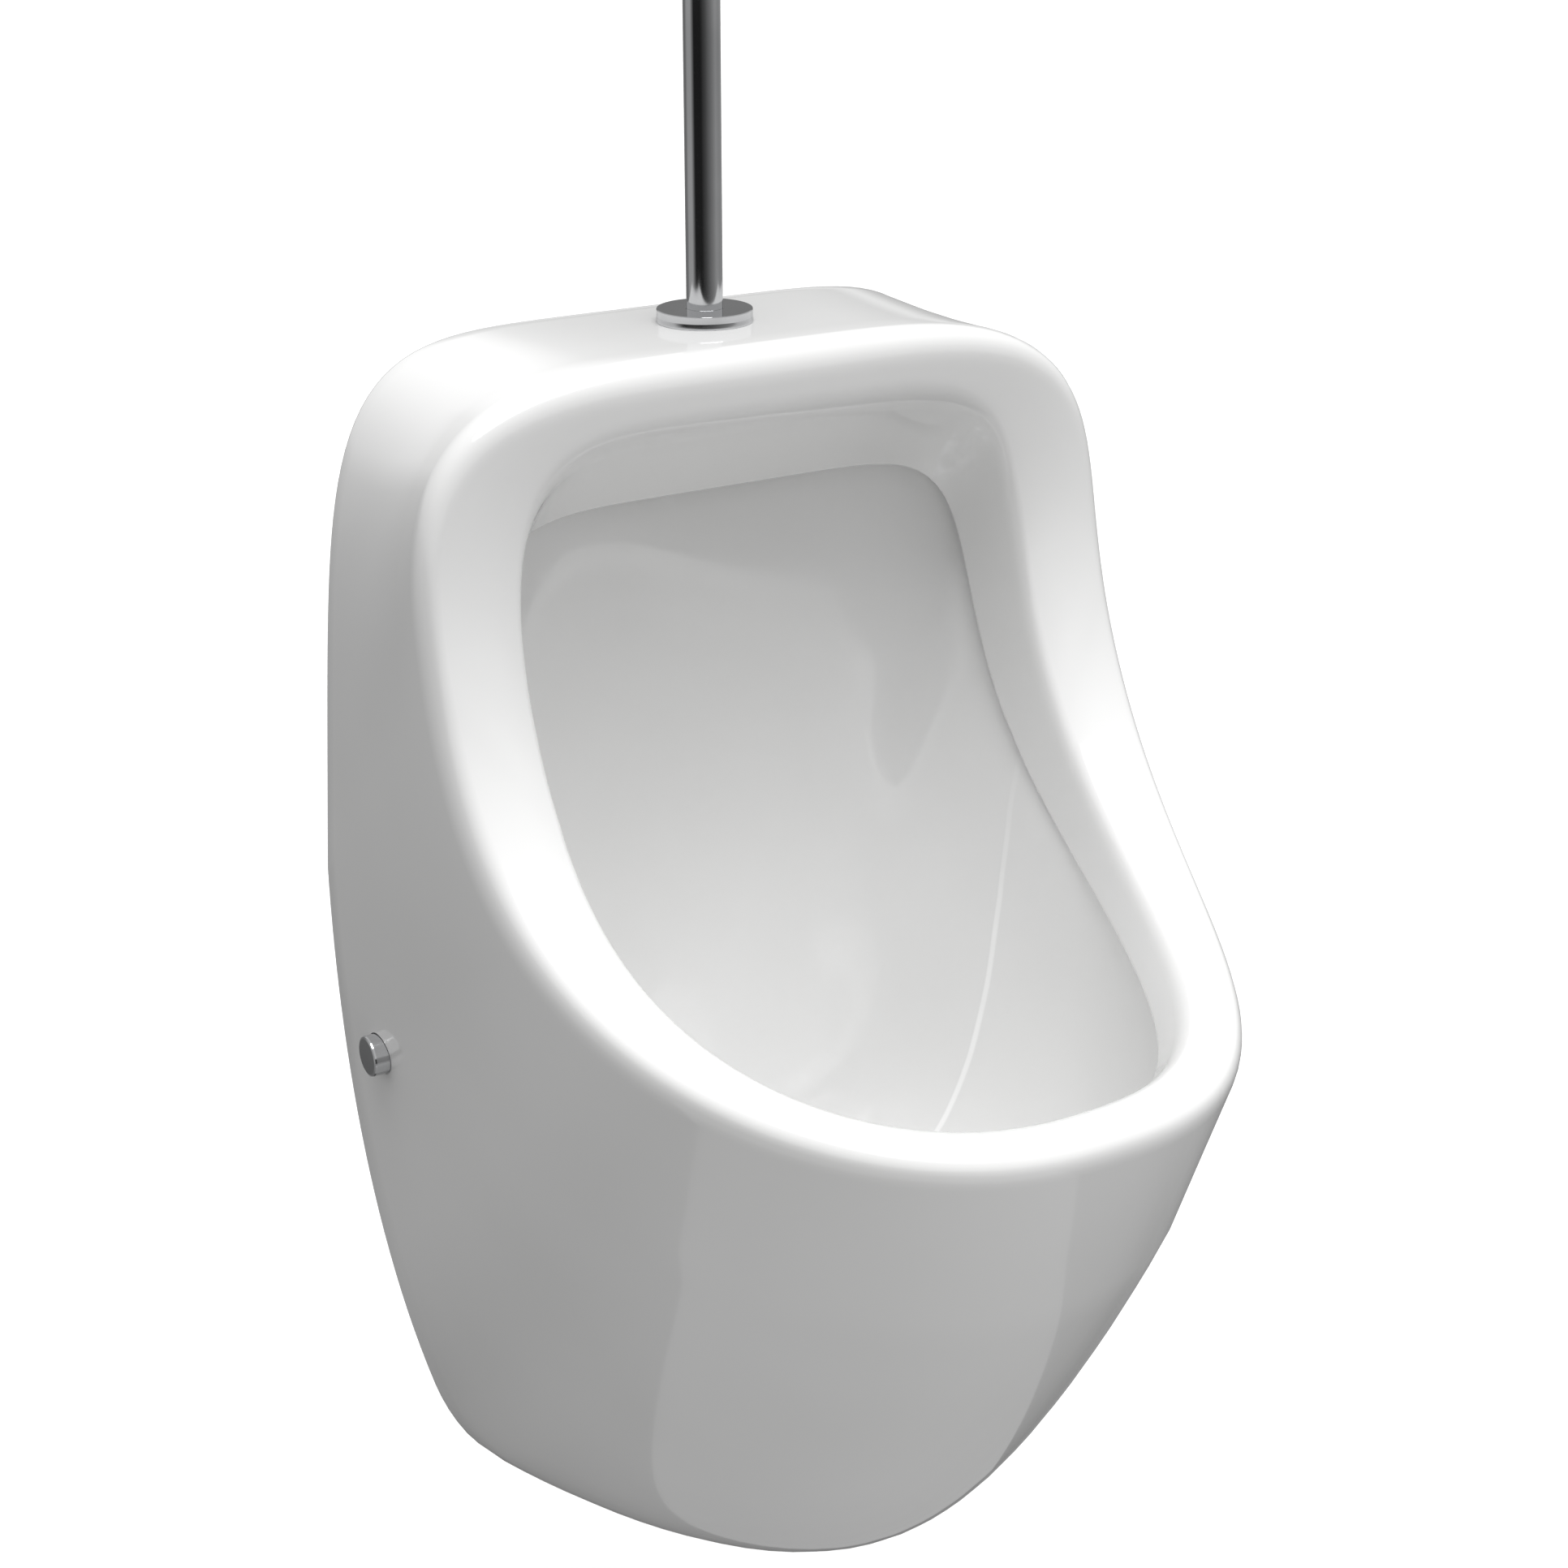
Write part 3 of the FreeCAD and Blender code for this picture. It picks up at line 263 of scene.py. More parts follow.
class NodeTree:
    """A node tree whose nodes are added one call at a time."""

    def __init__(self, tree):
        self.tree = tree

    def node(self, kind, settings, values):
        """Adds a node: settings first, then the value or link of each input by index or name."""
        made = self.tree.nodes.new(kind)
        for key, value in settings.items():
            if key == "stops":
                ramp = made.color_ramp
                while len(ramp.elements) < len(value):
                    ramp.elements.new(0.5)
                for element, (position, colour) in zip(ramp.elements, value):
                    element.position, element.color = position, colour
            else:
                setattr(made, key, value)
        pairs = values.items() if isinstance(values, dict) else enumerate(values)
        for key, value in pairs:
            self.put(made.inputs[key], value)
        return Outputs(self, made)

    def put(self, socket, value):
        """Sets an input to a value, to a link, or to a list of links."""
        if isinstance(value, Socket):
            self.tree.links.new(value.link, socket)
        elif isinstance(value, list):
            for each in value:
                self.tree.links.new(each.link, socket)
        else:
            socket.default_value = value

    def maths(self, operation, *values):
        return self.node("ShaderNodeMath", {"operation": operation}, values)[0]

    def clamped(self, value):
        """A number held between 0 and 1."""
        return self.maths("MINIMUM", self.maths("MAXIMUM", value, 0.0), 1.0)

    def span(self, value, low, rise, high, fall):
        """Above 0 only between low and high: climbs from the one and drops to the other."""
        return self.maths("MINIMUM", (value - low) * rise, (high - value) * fall)

    def axes(self, vector):
        split = self.node("ShaderNodeSeparateXYZ", {}, [vector])
        return split["X"], split["Y"], split["Z"]

    def ramp(self, value, *stops):
        return self.node("ShaderNodeValToRGB", {"stops": stops}, [value])["Color"]

    def mix(self, share, colour, other, blend="MIX"):
        """Mixed colour; 6, 7 and 2 are the colour inputs and the colour result of a Mix node."""
        settings = {"data_type": "RGBA", "blend_type": blend}
        return self.node("ShaderNodeMix", settings, {0: share, 6: colour, 7: other})[2]


class Shader(NodeTree):
    """A material on Object coordinates."""

    def __init__(self, name):
        self.material = bpy.data.materials.new(name)
        self.material.use_nodes = True
        super().__init__(self.material.node_tree)
        self.surface = self.tree.nodes["Principled BSDF"]
        self.place = self.node("ShaderNodeTexCoord", {}, {})["Object"]

    def finish(self, **sockets):
        """Sets the surface's sockets; an underscore in a name stands for a space."""
        for name, value in sockets.items():
            self.put(self.surface.inputs[name.replace("_", " ")], value)
        return self.material

    def noise(self, scale, detail=3.0, at=None):
        values = {"Vector": at or self.place, "Scale": scale, "Detail": detail}
        return self.node("ShaderNodeTexNoise", {}, values)["Fac"]

    def bump(self, height, distance, strength):
        values = {"Height": height, "Distance": distance, "Strength": strength}
        return self.node("ShaderNodeBump", {}, values)["Normal"]

    def stretched(self, x, y, z):
        """Object coordinates scaled along each axis."""
        values = {"Vector": self.place, "Scale": (x, y, z)}
        return self.node("ShaderNodeMapping", {}, values)["Vector"]


class Recipe(NodeTree):
    """A Geometry Nodes tree with named number inputs."""

    def __init__(self, name, **sizes):
        super().__init__(bpy.data.node_groups.new(name, "GeometryNodeTree"))
        face = self.tree.interface
        self.sizes = sizes
        for key in sizes:
            face.new_socket(key, in_out="INPUT", socket_type="NodeSocketFloat")
        face.new_socket("Geometry", in_out="OUTPUT", socket_type="NodeSocketGeometry")
        self.given = self.node("NodeGroupInput", {}, {})

    def __getattr__(self, key):
        return self.given[key]

    def join(self, shapes):
        return self.node("GeometryNodeJoinGeometry", {}, [shapes])[0]

    def copies(self, points, shape):
        values = {"Points": points, "Instance": shape}
        return self.node("GeometryNodeInstanceOnPoints", {}, values)[0]

    def mesh(self, name, shape, material):
        """Runs the tree on an empty object and returns the plain mesh that it makes."""
        real = self.node("GeometryNodeRealizeInstances", {}, [shape])[0]
        values = {"Geometry": real, "Material": material}
        self.node("NodeGroupOutput", {}, [self.node("GeometryNodeSetMaterial", {}, values)[0]])
        holder = bpy.data.objects.new(name, bpy.data.meshes.new(name))
        bpy.context.scene.collection.objects.link(holder)
        live = holder.modifiers.new(name, "NODES")
        live.node_group = self.tree
        for item in self.tree.interface.items_tree:
            if item.in_out == "INPUT":
                live[item.identifier] = float(self.sizes[item.name])
        return baked(holder)


def grey(value):
    return (value, value, value, 1.0)


# ---------------------------------------------------------------- finishes
def highlight_and_ridge_line(shader):
    """1 on the bowl's painted highlight line, which the bump also raises as a low ridge, 0 away
    from it.
    """
    x, y, z = shader.axes(shader.place)
    waver = shader.noise(30.0, 1.0) * (HIGHLIGHT_LINE_WAVER * MM)
    off = abs(y - HIGHLIGHT_LINE_Y * MM - z * HIGHLIGHT_LINE_LEAN + waver) - HIGHLIGHT_LINE_HALF_WIDTH * MM
    line = 1.0 - shader.clamped(off * (1 / (HIGHLIGHT_LINE_EDGE * MM)))
    inside = (abs(x) < HIGHLIGHT_LINE_HALF_REACH * MM) * (z > HIGHLIGHT_LINE_LOW_Z * MM)
    return line * inside * shader.clamped((HIGHLIGHT_LINE_TOP_Z * MM - z) * HIGHLIGHT_LINE_FADE)


def white_glaze():
    """Fired white glaze: thick, glossy, with the faint waves of a hand-sprayed coat."""
    shader = Shader("white_glaze")
    colour = shader.ramp(shader.noise(5.0, 2.0),
                         (0.3, (0.80, 0.80, 0.795, 1)), (0.7, (0.84, 0.84, 0.838, 1)))
    # painted highlight: a pale line down the bowl's sides, lifted towards near white in the base
    # colour and raised as a low ridge in the bump
    highlight_and_ridge = highlight_and_ridge_line(shader)
    waves = shader.noise(14.0, 1.0)
    pits = shader.noise(900.0, 1.0)
    return shader.finish(
        # painted highlight: the base colour is mixed towards near white along the bowl's line
        Base_Color=shader.mix(highlight_and_ridge * 0.9, colour, (0.97, 0.97, 0.968, 1)),
        Roughness=0.07 + shader.noise(40.0, 2.0) * 0.05,
        Normal=shader.bump(waves + pits * 0.004 + highlight_and_ridge * 0.6, 0.0006, 0.35),
        Specular_IOR_Level=0.5, Coat_Weight=0.6, Coat_Roughness=0.03, Coat_IOR=1.5)


def chrome():
    """Bright chrome plate with a trace of fine polishing lines and water film."""
    shader = Shader("polished_chrome")
    lines = shader.noise(60.0, 3.0, at=shader.stretched(1.0, 1.0, 0.05))
    film = shader.noise(25.0, 2.0)
    colour = shader.ramp(film, (0.35, (0.55, 0.555, 0.565, 1)), (0.7, (0.62, 0.625, 0.635, 1)))
    return shader.finish(Base_Color=colour, Metallic=1.0,
                         Roughness=0.05 + lines * 0.05 + film * 0.03,
                         Normal=shader.bump(lines, 0.0001, 0.15))


def brushed_steel():
    """Stainless sheet with short brush marks across it."""
    shader = Shader("brushed_steel")
    lines = shader.noise(300.0, 3.0, at=shader.stretched(1.0, 0.06, 1.0))
    cloud = shader.noise(18.0, 3.0)
    colour = shader.ramp(cloud, (0.3, (0.50, 0.505, 0.51, 1)), (0.7, (0.60, 0.605, 0.61, 1)))
    return shader.finish(Base_Color=colour, Metallic=1.0, Roughness=0.24 + lines * 0.18,
                         Normal=shader.bump(lines, 0.00015, 0.4))


def zinc_plate():
    """Galvanised sheet steel with its cloudy spangle."""
    shader = Shader("zinc_plate")
    values = {"Vector": shader.place, "Scale": 160.0}
    spangle = shader.node("ShaderNodeTexVoronoi", {}, values)["Distance"]
    colour = shader.ramp(spangle, (0.0, (0.50, 0.51, 0.52, 1)), (1.0, (0.66, 0.67, 0.68, 1)))
    return shader.finish(Base_Color=colour, Metallic=1.0, Roughness=0.3 + spangle * 0.3,
                         Normal=shader.bump(spangle, 0.0001, 0.3))


def grained(name, scale, dark, light, rough, rougher, depth, strength, metallic=0.0):
    """A finish whose colour, roughness and bump all follow one fine grain."""
    shader = Shader(name)
    grain = shader.noise(scale, 4.0)
    return shader.finish(Base_Color=shader.ramp(grain, (0.3, dark), (0.7, light)),
                         Metallic=metallic, Roughness=rough + grain * rougher,
                         Normal=shader.bump(grain, depth, strength))


def bare_clay():
    """Unglazed fired body inside the back."""
    return grained("bare_clay", 260.0, (0.62, 0.59, 0.54, 1), (0.72, 0.69, 0.64, 1),
                   0.75, 0.15, 0.0004, 0.6)


def brass():
    return grained("cast_brass", 180.0, (0.52, 0.38, 0.16, 1), (0.66, 0.50, 0.24, 1),
                   0.28, 0.15, 0.0002, 0.4, metallic=1.0)


def rubber():
    return grained("black_rubber", 420.0, (0.012, 0.012, 0.013, 1), (0.03, 0.03, 0.032, 1),
                   0.55, 0.25, 0.0002, 0.5)


def plastic(name, dark, light, rough):
    """Moulded plastic with the fine spark-eroded grain of its mould."""
    shader = Shader(name)
    grain = shader.noise(650.0, 3.0)
    colour = shader.ramp(shader.noise(22.0, 2.0), (0.3, dark), (0.7, light))
    return shader.finish(Base_Color=colour, Roughness=rough + grain * 0.12,
                         Normal=shader.bump(grain, 0.00012, 0.4))


# ---------------------------------------------------------------- rings
# A ring is a closed list of points in millimetres: from its top down the +x side to the end of
# its side view, and back up the -x side. All rings have the same number of points.
def cubic(points, t):
    """Point at share t of the cubic curve with these four control points."""
    weights = ((1 - t) ** 3, 3 * t * (1 - t) ** 2, 3 * t * t * (1 - t), t ** 3)
    return tuple(sum(w * p[i] for w, p in zip(weights, points)) for i in range(len(points[0])))


def measured(points):
    """Running length along a line, counting each radian of turning as BEND_LENGTH more."""
    reach, heading = [0.0], None
    for a, b in zip(points, points[1:]):
        step = [v - u for u, v in zip(a, b)]
        length = math.hypot(*step)
        way = [u / length for u in step]
        turning = math.dist(way, heading) if heading else 0.0
        heading = way
        reach.append(reach[-1] + length + BEND_LENGTH * turning)
    return reach


def spread(points, middle):
    """A line resampled in 2 * RING_STEPS steps, with the point of index middle half way.

    The pace along each half is a cubic, and both have the same slope where they meet.
    """
    reach = measured(points)
    first, second = reach[middle] / RING_STEPS, (reach[-1] - reach[middle]) / RING_STEPS
    slope = 2 * first * second / (first + second)
    line, j = [], 0
    for i in range(2 * RING_STEPS + 1):
        if i <= RING_STEPS:
            u, pace, base, turn = i / RING_STEPS, first, 0.0, (1.5 * first - 0.5 * slope, slope)
        else:
            u, pace, base = i / RING_STEPS - 1, second, reach[middle]
            turn = (slope, 1.5 * second - 0.5 * slope)
        rise = pace * (3 * u * u - 2 * u ** 3)
        s = base + RING_STEPS * (rise + turn[0] * u * (1 - u) ** 2 - turn[1] * u * u * (1 - u))
        s = min(max(s, 0.0), reach[-1])
        while j < len(reach) - 2 and reach[j + 1] < s:
            j += 1
        t = (s - reach[j]) / (reach[j + 1] - reach[j])
        line.append(tuple(a + (b - a) * t for a, b in zip(points[j], points[j + 1])))
    return line


def egg(half_width, profile, widest, top_power, low_power, taper=0.0):
    """Closed ring whose side view is profile(t) and whose front view is a superellipse.

    It is widest at share widest of the side view; the powers are its squareness above and
    below that place, and taper narrows its top.
    """
    top, low = [], []
    for i in range(FINE_STEPS + 1):
        turn = math.pi / 2 * i / FINE_STEPS
        side, rise = math.sin(turn), math.cos(turn)
        t = widest * (1 - rise ** (2 / top_power))
        narrow = 1 - taper * (widest - t) / widest
        top.append((half_width * side ** (2 / top_power) * narrow,) + profile(t))
        t = widest + (1 - widest) * side ** (2 / low_power)
        low.append((half_width * rise ** (2 / low_power),) + profile(t))
    half = spread(top + low[1:], FINE_STEPS)
    half[0], half[-1] = (0.0,) + half[0][1:], (0.0,) + half[-1][1:]
    return half + [(-x, y, z) for x, y, z in half[1:-1]][::-1]


def ridge_ring():
    return egg(RIDGE_HALF_WIDTH, lambda t: cubic(RIDGE_PROFILE, t), *RIDGE_FORM)


def mouth_ring():
    return egg(MOUTH_HALF_WIDTH, lambda t: cubic(MOUTH_PROFILE, t), *MOUTH_FORM)


def ledge_ring(grow=0.0, back=0.0):
    """The flush rim's lower edge, or a ring larger by grow and set back behind it."""
    profile = [(y + back, z) for y, z in LEDGE_PROFILE]
    profile[0] = (profile[0][0], profile[0][1] + grow)
    profile[3] = (profile[3][0] - grow - back, profile[3][1] - back)
    return egg(LEDGE_HALF_WIDTH + grow, lambda t: cubic(profile, t), *LEDGE_FORM)


def wall_ring(inset=0.0, back=0.0):
    """Ring down the wall, round the lower corner and forward round the open underside."""
    top, bottom, front = TOP_Z - inset, BOTTOM_Z - back, BOTTOM_FRONT_Y + inset
    straight = top - bottom - BOTTOM_CORNER
    arc = BOTTOM_CORNER * math.pi / 2
    forward = back - front - BOTTOM_CORNER

    def profile(t):
        s = t * (straight + arc + forward)
        if s < straight:
            return back, top - s
        if s < straight + arc:
            turn = (s - straight) / BOTTOM_CORNER
            return (back - BOTTOM_CORNER * (1 - math.cos(turn)),
                    bottom + BOTTOM_CORNER * (1 - math.sin(turn)))
        return back - BOTTOM_CORNER - (s - straight - arc), bottom
    return egg(WALL_HALF_WIDTH - inset, profile, *WALL_FORM)


def bowl_ring(inset, behind, middle_z, front, widest=0.5, top_power=3.0):
    """Ring across the bowl's inside, whose side view sags between its back and its front."""
    back_y, front_y = BOWL_BACK_Y - behind[0], LEDGE_PROFILE[3][0] + front[0]
    sag = [(back_y + share * (front_y - back_y), middle_z) for share in BOWL_SAG]
    curve = [(back_y, behind[1]), *sag, (front_y, front[1])]
    return egg(LEDGE_HALF_WIDTH - inset, lambda t: cubic(curve, t),
               widest, top_power, BOWL_LOW_POWER)


def circle_ring(radius, z):
    """Level circle round the outlet's axis."""
    back, front = (OUTLET_Y + radius, z), (OUTLET_Y - radius, z)
    return egg(radius, lambda t: (back[0] + (front[0] - back[0]) * t, z), 0.5, 2.0, 2.0)


def bowl_rings():
    """Rings of the bowl's inside, from the outlet's recess up to behind the flush rim."""
    return ([circle_ring(RECESS_R + RECESS_LAND, FLOOR_Z + RECESS_DEPTH)]
            + [bowl_ring(*ring) for ring in BOWL_RINGS]
            + [ledge_ring(LEDGE_THICKNESS, BOWL_TUCK)])


def lowness(i):
    """How low point i of a ring is: 0 in its upper half, 1 at its lowest point."""
    u = i if i <= 2 * RING_STEPS else 4 * RING_STEPS - i
    return math.sin(max(0.0, u / RING_STEPS - 1) * math.pi / 2) ** 2


def hull_ring(ridge, wall, s):
    """Ring at share s of the way from the rim's outer edge back to the wall."""
    ring = []
    for i, (p, q) in enumerate(zip(ridge, wall)):
        low = lowness(i)
        third = [(b - a) / 3 for a, b in zip(p, q)]
        lead = (p[0] + third[0] * (1 - KEEL_SIDE_STEP * low),
                p[1] + third[1] * (1 - low) + KEEL_LEAD[0] * low,
                p[2] + third[2] * (1 - low) + KEEL_LEAD[1] * low)
        tail = (q[0] - third[0] * (1 - low),
                q[1] - third[1] * (1 - low) - KEEL_TAIL[0] * low,
                q[2] - third[2] * (1 - low) - KEEL_TAIL[1] * low)
        ring.append(cubic([p, lead, tail, q], s))
    return ring


def hull_rings(ridge, wall, steps):
    return [hull_ring(ridge, wall, s / steps) for s in range(steps + 1)]


def towards(a, b, length):
    """Ring a moved by length towards ring b."""
    ring = []
    for p, q in zip(a, b):
        gap = math.dist(p, q)
        ring.append(tuple(u + (v - u) * length / gap for u, v in zip(p, q)))
    return ring


def between(a, b, share=0.5):
    return [tuple(u + (v - u) * share for u, v in zip(p, q)) for p, q in zip(a, b)]


def rounded(corner, before, after, radius, steps):
    """Rings that round the edge at corner between the rings before and after it."""
    a, b = towards(corner, before, radius), towards(corner, after, radius)
    rings = []
    for k in range(steps + 1):
        t = k / steps
        rings.append([tuple((1 - t) ** 2 * u + 2 * t * (1 - t) * c + t * t * v
                            for u, c, v in zip(p, m, q)) for p, m, q in zip(a, corner, b)])
    return rings


def smoothed(rings, steps):
    """More rings between these, on a smooth curve through each row of points."""
    made = []
    for k in range(len(rings) - 1):
        before, after = rings[max(k - 1, 0)], rings[min(k + 2, len(rings) - 1)]
        for i in range(steps):
            t = i / steps
            ring = []
            for o, p, q, r in zip(before, rings[k], rings[k + 1], after):
                ring.append(tuple(0.5 * (2 * b + (c - a) * t + (2 * a - 5 * b + 4 * c - d) * t * t
                                         + (3 * b - a - 3 * c + d) * t ** 3)
                                  for a, b, c, d in zip(o, p, q, r)))
            made.append(ring)
    return made + [rings[-1]]


def inward(rings, depth):
    """The middle rings of a stack moved into the wall by depth."""
    moved = []
    for j in range(1, len(rings) - 1):
        ring, n = [], len(rings[j])
        for i in range(n):
            round_ = Vector(rings[j][(i + 1) % n]) - Vector(rings[j][i - 1])
            along = Vector(rings[j + 1][i]) - Vector(rings[j - 1][i])
            normal = round_.cross(along).normalized()
            ring.append(tuple(Vector(rings[j][i]) - normal * depth))
        moved.append(ring)
    return moved


# ---------------------------------------------------------------- meshes
def plain_object(name, bm, material):
    """Turns a bmesh, which it uses up, into an object of the scene."""
    mesh = bpy.data.meshes.new(name)
    bm.to_mesh(mesh)
    bm.free()
    mesh.materials.append(material)
    made = bpy.data.objects.new(name, mesh)
    bpy.context.scene.collection.objects.link(made)
    return made


def baked(made):
    """Replaces an object's mesh by the plain result of its modifiers."""
    graph = bpy.context.evaluated_depsgraph_get()
    mesh = bpy.data.meshes.new_from_object(made.evaluated_get(graph), depsgraph=graph)
    made.modifiers.clear()
    made.data = mesh
    return made


def carved(base, *tools):
    """Takes the tools away from base, one after the other; they are used up."""
    for each in tools:
        cut = base.modifiers.new("cut", "BOOLEAN")
        cut.operation, cut.object, cut.solver = "DIFFERENCE", each, "EXACT"
        cut.material_mode = "TRANSFER"
    baked(base)
    for each in tools:
        bpy.data.objects.remove(each)
    return base


def finished(made, body, slot, smooth, *nodes):
    """Smooths a piece, sets the body it rides on and hides the nodes it stands for; slot is not
    used.
    """
    made.data.polygons.foreach_set("use_smooth", [True] * len(made.data.polygons))
    made.data.set_sharp_from_angle(angle=math.radians(smooth))
    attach(made, body)
    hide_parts(*nodes)


def rod(bm, radius, start, end, sides=48, tip=None):
    """Adds a closed cylinder, or a cone to radius tip, between two points."""
    a, b = Vector(start) * MM, Vector(end) * MM
    turn = (b - a).to_track_quat("Z", "Y").to_matrix().to_4x4()
    bmesh.ops.create_cone(bm, cap_ends=True, segments=sides, radius1=radius * MM,
                          radius2=(radius if tip is None else tip) * MM, depth=(b - a).length,
                          matrix=Matrix.Translation((a + b) / 2) @ turn)


def upright(radius, place, reach, sides=48):
    """A rod along z that reaches this far below and above a place."""
    x, y, z = place
    low, high = reach
    return rod, radius, (x, y, z + low), (x, y, z + high), sides


def crosswise(radius, side, start, end):
    """A rod along x at the side fixing, on the -x side for side -1."""
    return rod, radius, (side * start, FIX_Y, 0), (side * end, FIX_Y, 0)


def lengthwise(radius, start, end, sides, tip=None):
    """A rod along y through the origin."""
    return rod, radius, (0, start, 0), (0, end, 0), sides, tip


def prism(bm, outline, x0, x1):
    """Adds a (y, z) outline extruded from x0 to x1."""
    ends = [[bm.verts.new((x * MM, y * MM, z * MM)) for y, z in outline] for x in (x0, x1)]
    bm.faces.new(ends[0])
    bm.faces.new(ends[1][::-1])
    for i in range(len(outline)):
        bm.faces.new((ends[0][i - 1], ends[0][i], ends[1][i], ends[1][i - 1]))


def turned(bm, outline, at, sides=96):
    """Adds the solid of revolution of a closed (radius, height) outline round +Z."""
    x, y, z = at
    rings = []
    for r, h in outline:
        if r < 1e-6:
            rings.append([bm.verts.new((x * MM, y * MM, (z + h) * MM))])
        else:
            rings.append([bm.verts.new(((x + r * math.cos(2 * math.pi * i / sides)) * MM,
                                        (y + r * math.sin(2 * math.pi * i / sides)) * MM,
                                        (z + h) * MM)) for i in range(sides)])
    for a, b in zip(rings, rings[1:] + rings[:1]):
        for i in range(sides):
            j = (i + 1) % sides
            corners = [a[i % len(a)], a[j % len(a)], b[j % len(b)], b[i % len(b)]]
            kept = [c for k, c in enumerate(corners) if c is not corners[k - 1]]
            if len(kept) > 2:
                bm.faces.new(kept)


def tool(name, material, *shapes):
    """Closed shapes that don't touch, each a function and its arguments, as one object."""
    bm = bmesh.new()
    for shape, *values in shapes:
        shape(bm, *values)
    bmesh.ops.recalc_face_normals(bm, faces=bm.faces)
    return plain_object(name, bm, material)


def closed_stack(name, rings, material):
    """Closed solid through a stack of rings, with flat ends."""
    bm = bmesh.new()
    rows = [[bm.verts.new([c * MM for c in p]) for p in ring] for ring in rings]
    n = len(rings[0])
    for low, high in zip(rows, rows[1:]):
        for i in range(n):
            bm.faces.new((low[i], low[(i + 1) % n], high[(i + 1) % n], high[i]))
    for row in (rows[0], rows[-1]):
        bm.faces.new((row[0], row[1], row[-1]))
        bm.faces.new((row[n // 2 - 1], row[n // 2], row[n // 2 + 1]))
        for i in range(1, n // 2 - 1):
            bm.faces.new((row[i], row[i + 1], row[-i - 1], row[-i]))
    bmesh.ops.recalc_face_normals(bm, faces=bm.faces)
    return plain_object(name, bm, material)


# ---------------------------------------------------------------- ceramic
def filled_ceramic(glaze, ridge, mouth, ledge, wall):
    """The ceramic as one full solid, up from the bowl's floor, over the rim and to the back.

    The hull's first and last rings give way to the rounded ridge and the rounded back edge.
    """
    bowl = bowl_rings()
    hull = hull_rings(ridge, wall, HULL_STEPS)
    ridge_round = rounded(ridge, mouth, hull[HULL_FIRST], RIDGE_ROUND, RIDGE_STEPS)
    mouth_round = rounded(mouth, ledge, ridge, MOUTH_ROUND, MOUTH_STEPS)
    ledge_round = rounded(ledge, bowl[-1], mouth, LEDGE_ROUND, EDGE_STEPS)
    back_round = rounded(wall, hull[-3], wall_ring(BACK_EDGE), EDGE_ROUND, EDGE_STEPS)
    face = [between(mouth_round[-1], ridge_round[0], share) for share in FACE_SHARES]
    rings = (smoothed(bowl, BOWL_STEPS) + ledge_round + mouth_round + face + ridge_round
             + hull[HULL_FIRST:-2] + back_round)
    return closed_stack("glazed_ceramic", rings, glaze)


def hollow_behind(clay, ridge, mouth, wall):
    """What the open back leaves empty between the bowl and the outside."""
    hull = inward(hull_rings(ridge, wall, HOLLOW_STEPS), CERAMIC_WALL)
    behind_ledge = ledge_ring(LEDGE_THICKNESS + CERAMIC_WALL, BOWL_TUCK + CERAMIC_WALL)
    behind_ledge = [(x, y + LEDGE_SLACK[0] * lowness(i), z + LEDGE_SLACK[1] * lowness(i))
                    for i, (x, y, z) in enumerate(behind_ledge)]
    in_rim = inward([mouth, between(ridge, mouth), ridge], RIM_CORE)[0]
    rim = [tuple(u + (v - u) * lowness(i) for u, v in zip(p, q))
           for i, (p, q) in enumerate(zip(in_rim, between(hull[0], behind_ledge)))]
    floor = circle_ring(RECESS_R + FLOOR_LAND, FLOOR_Z - FLOOR_THICKNESS)
    rings = ([floor] + inward(bowl_rings(), CERAMIC_WALL) + [behind_ledge, rim] + hull
             + [wall_ring(BACK_EDGE, BACK_PAST)])
    return closed_stack("hollow", rings, clay)


def chamber_outline(grow):
    """Side view of the water chamber over the flush rim, or of the clay round it."""
    (low_y, low_z), (high_y, high_z) = LEDGE_PROFILE[0], MOUTH_PROFILE[0]
    back, front = CHAMBER_BACK_Y + grow, high_y + CHAMBER_FRONT[0] - grow / 2
    floor, top = low_z + CHAMBER_FLOOR - grow, TOP_Z - CERAMIC_WALL + grow / 2
    return [(back, top), (back, floor), (low_y + BOWL_TUCK - grow / 2, floor),
            (front, high_z + CHAMBER_FRONT[1] - grow), (front, top)]


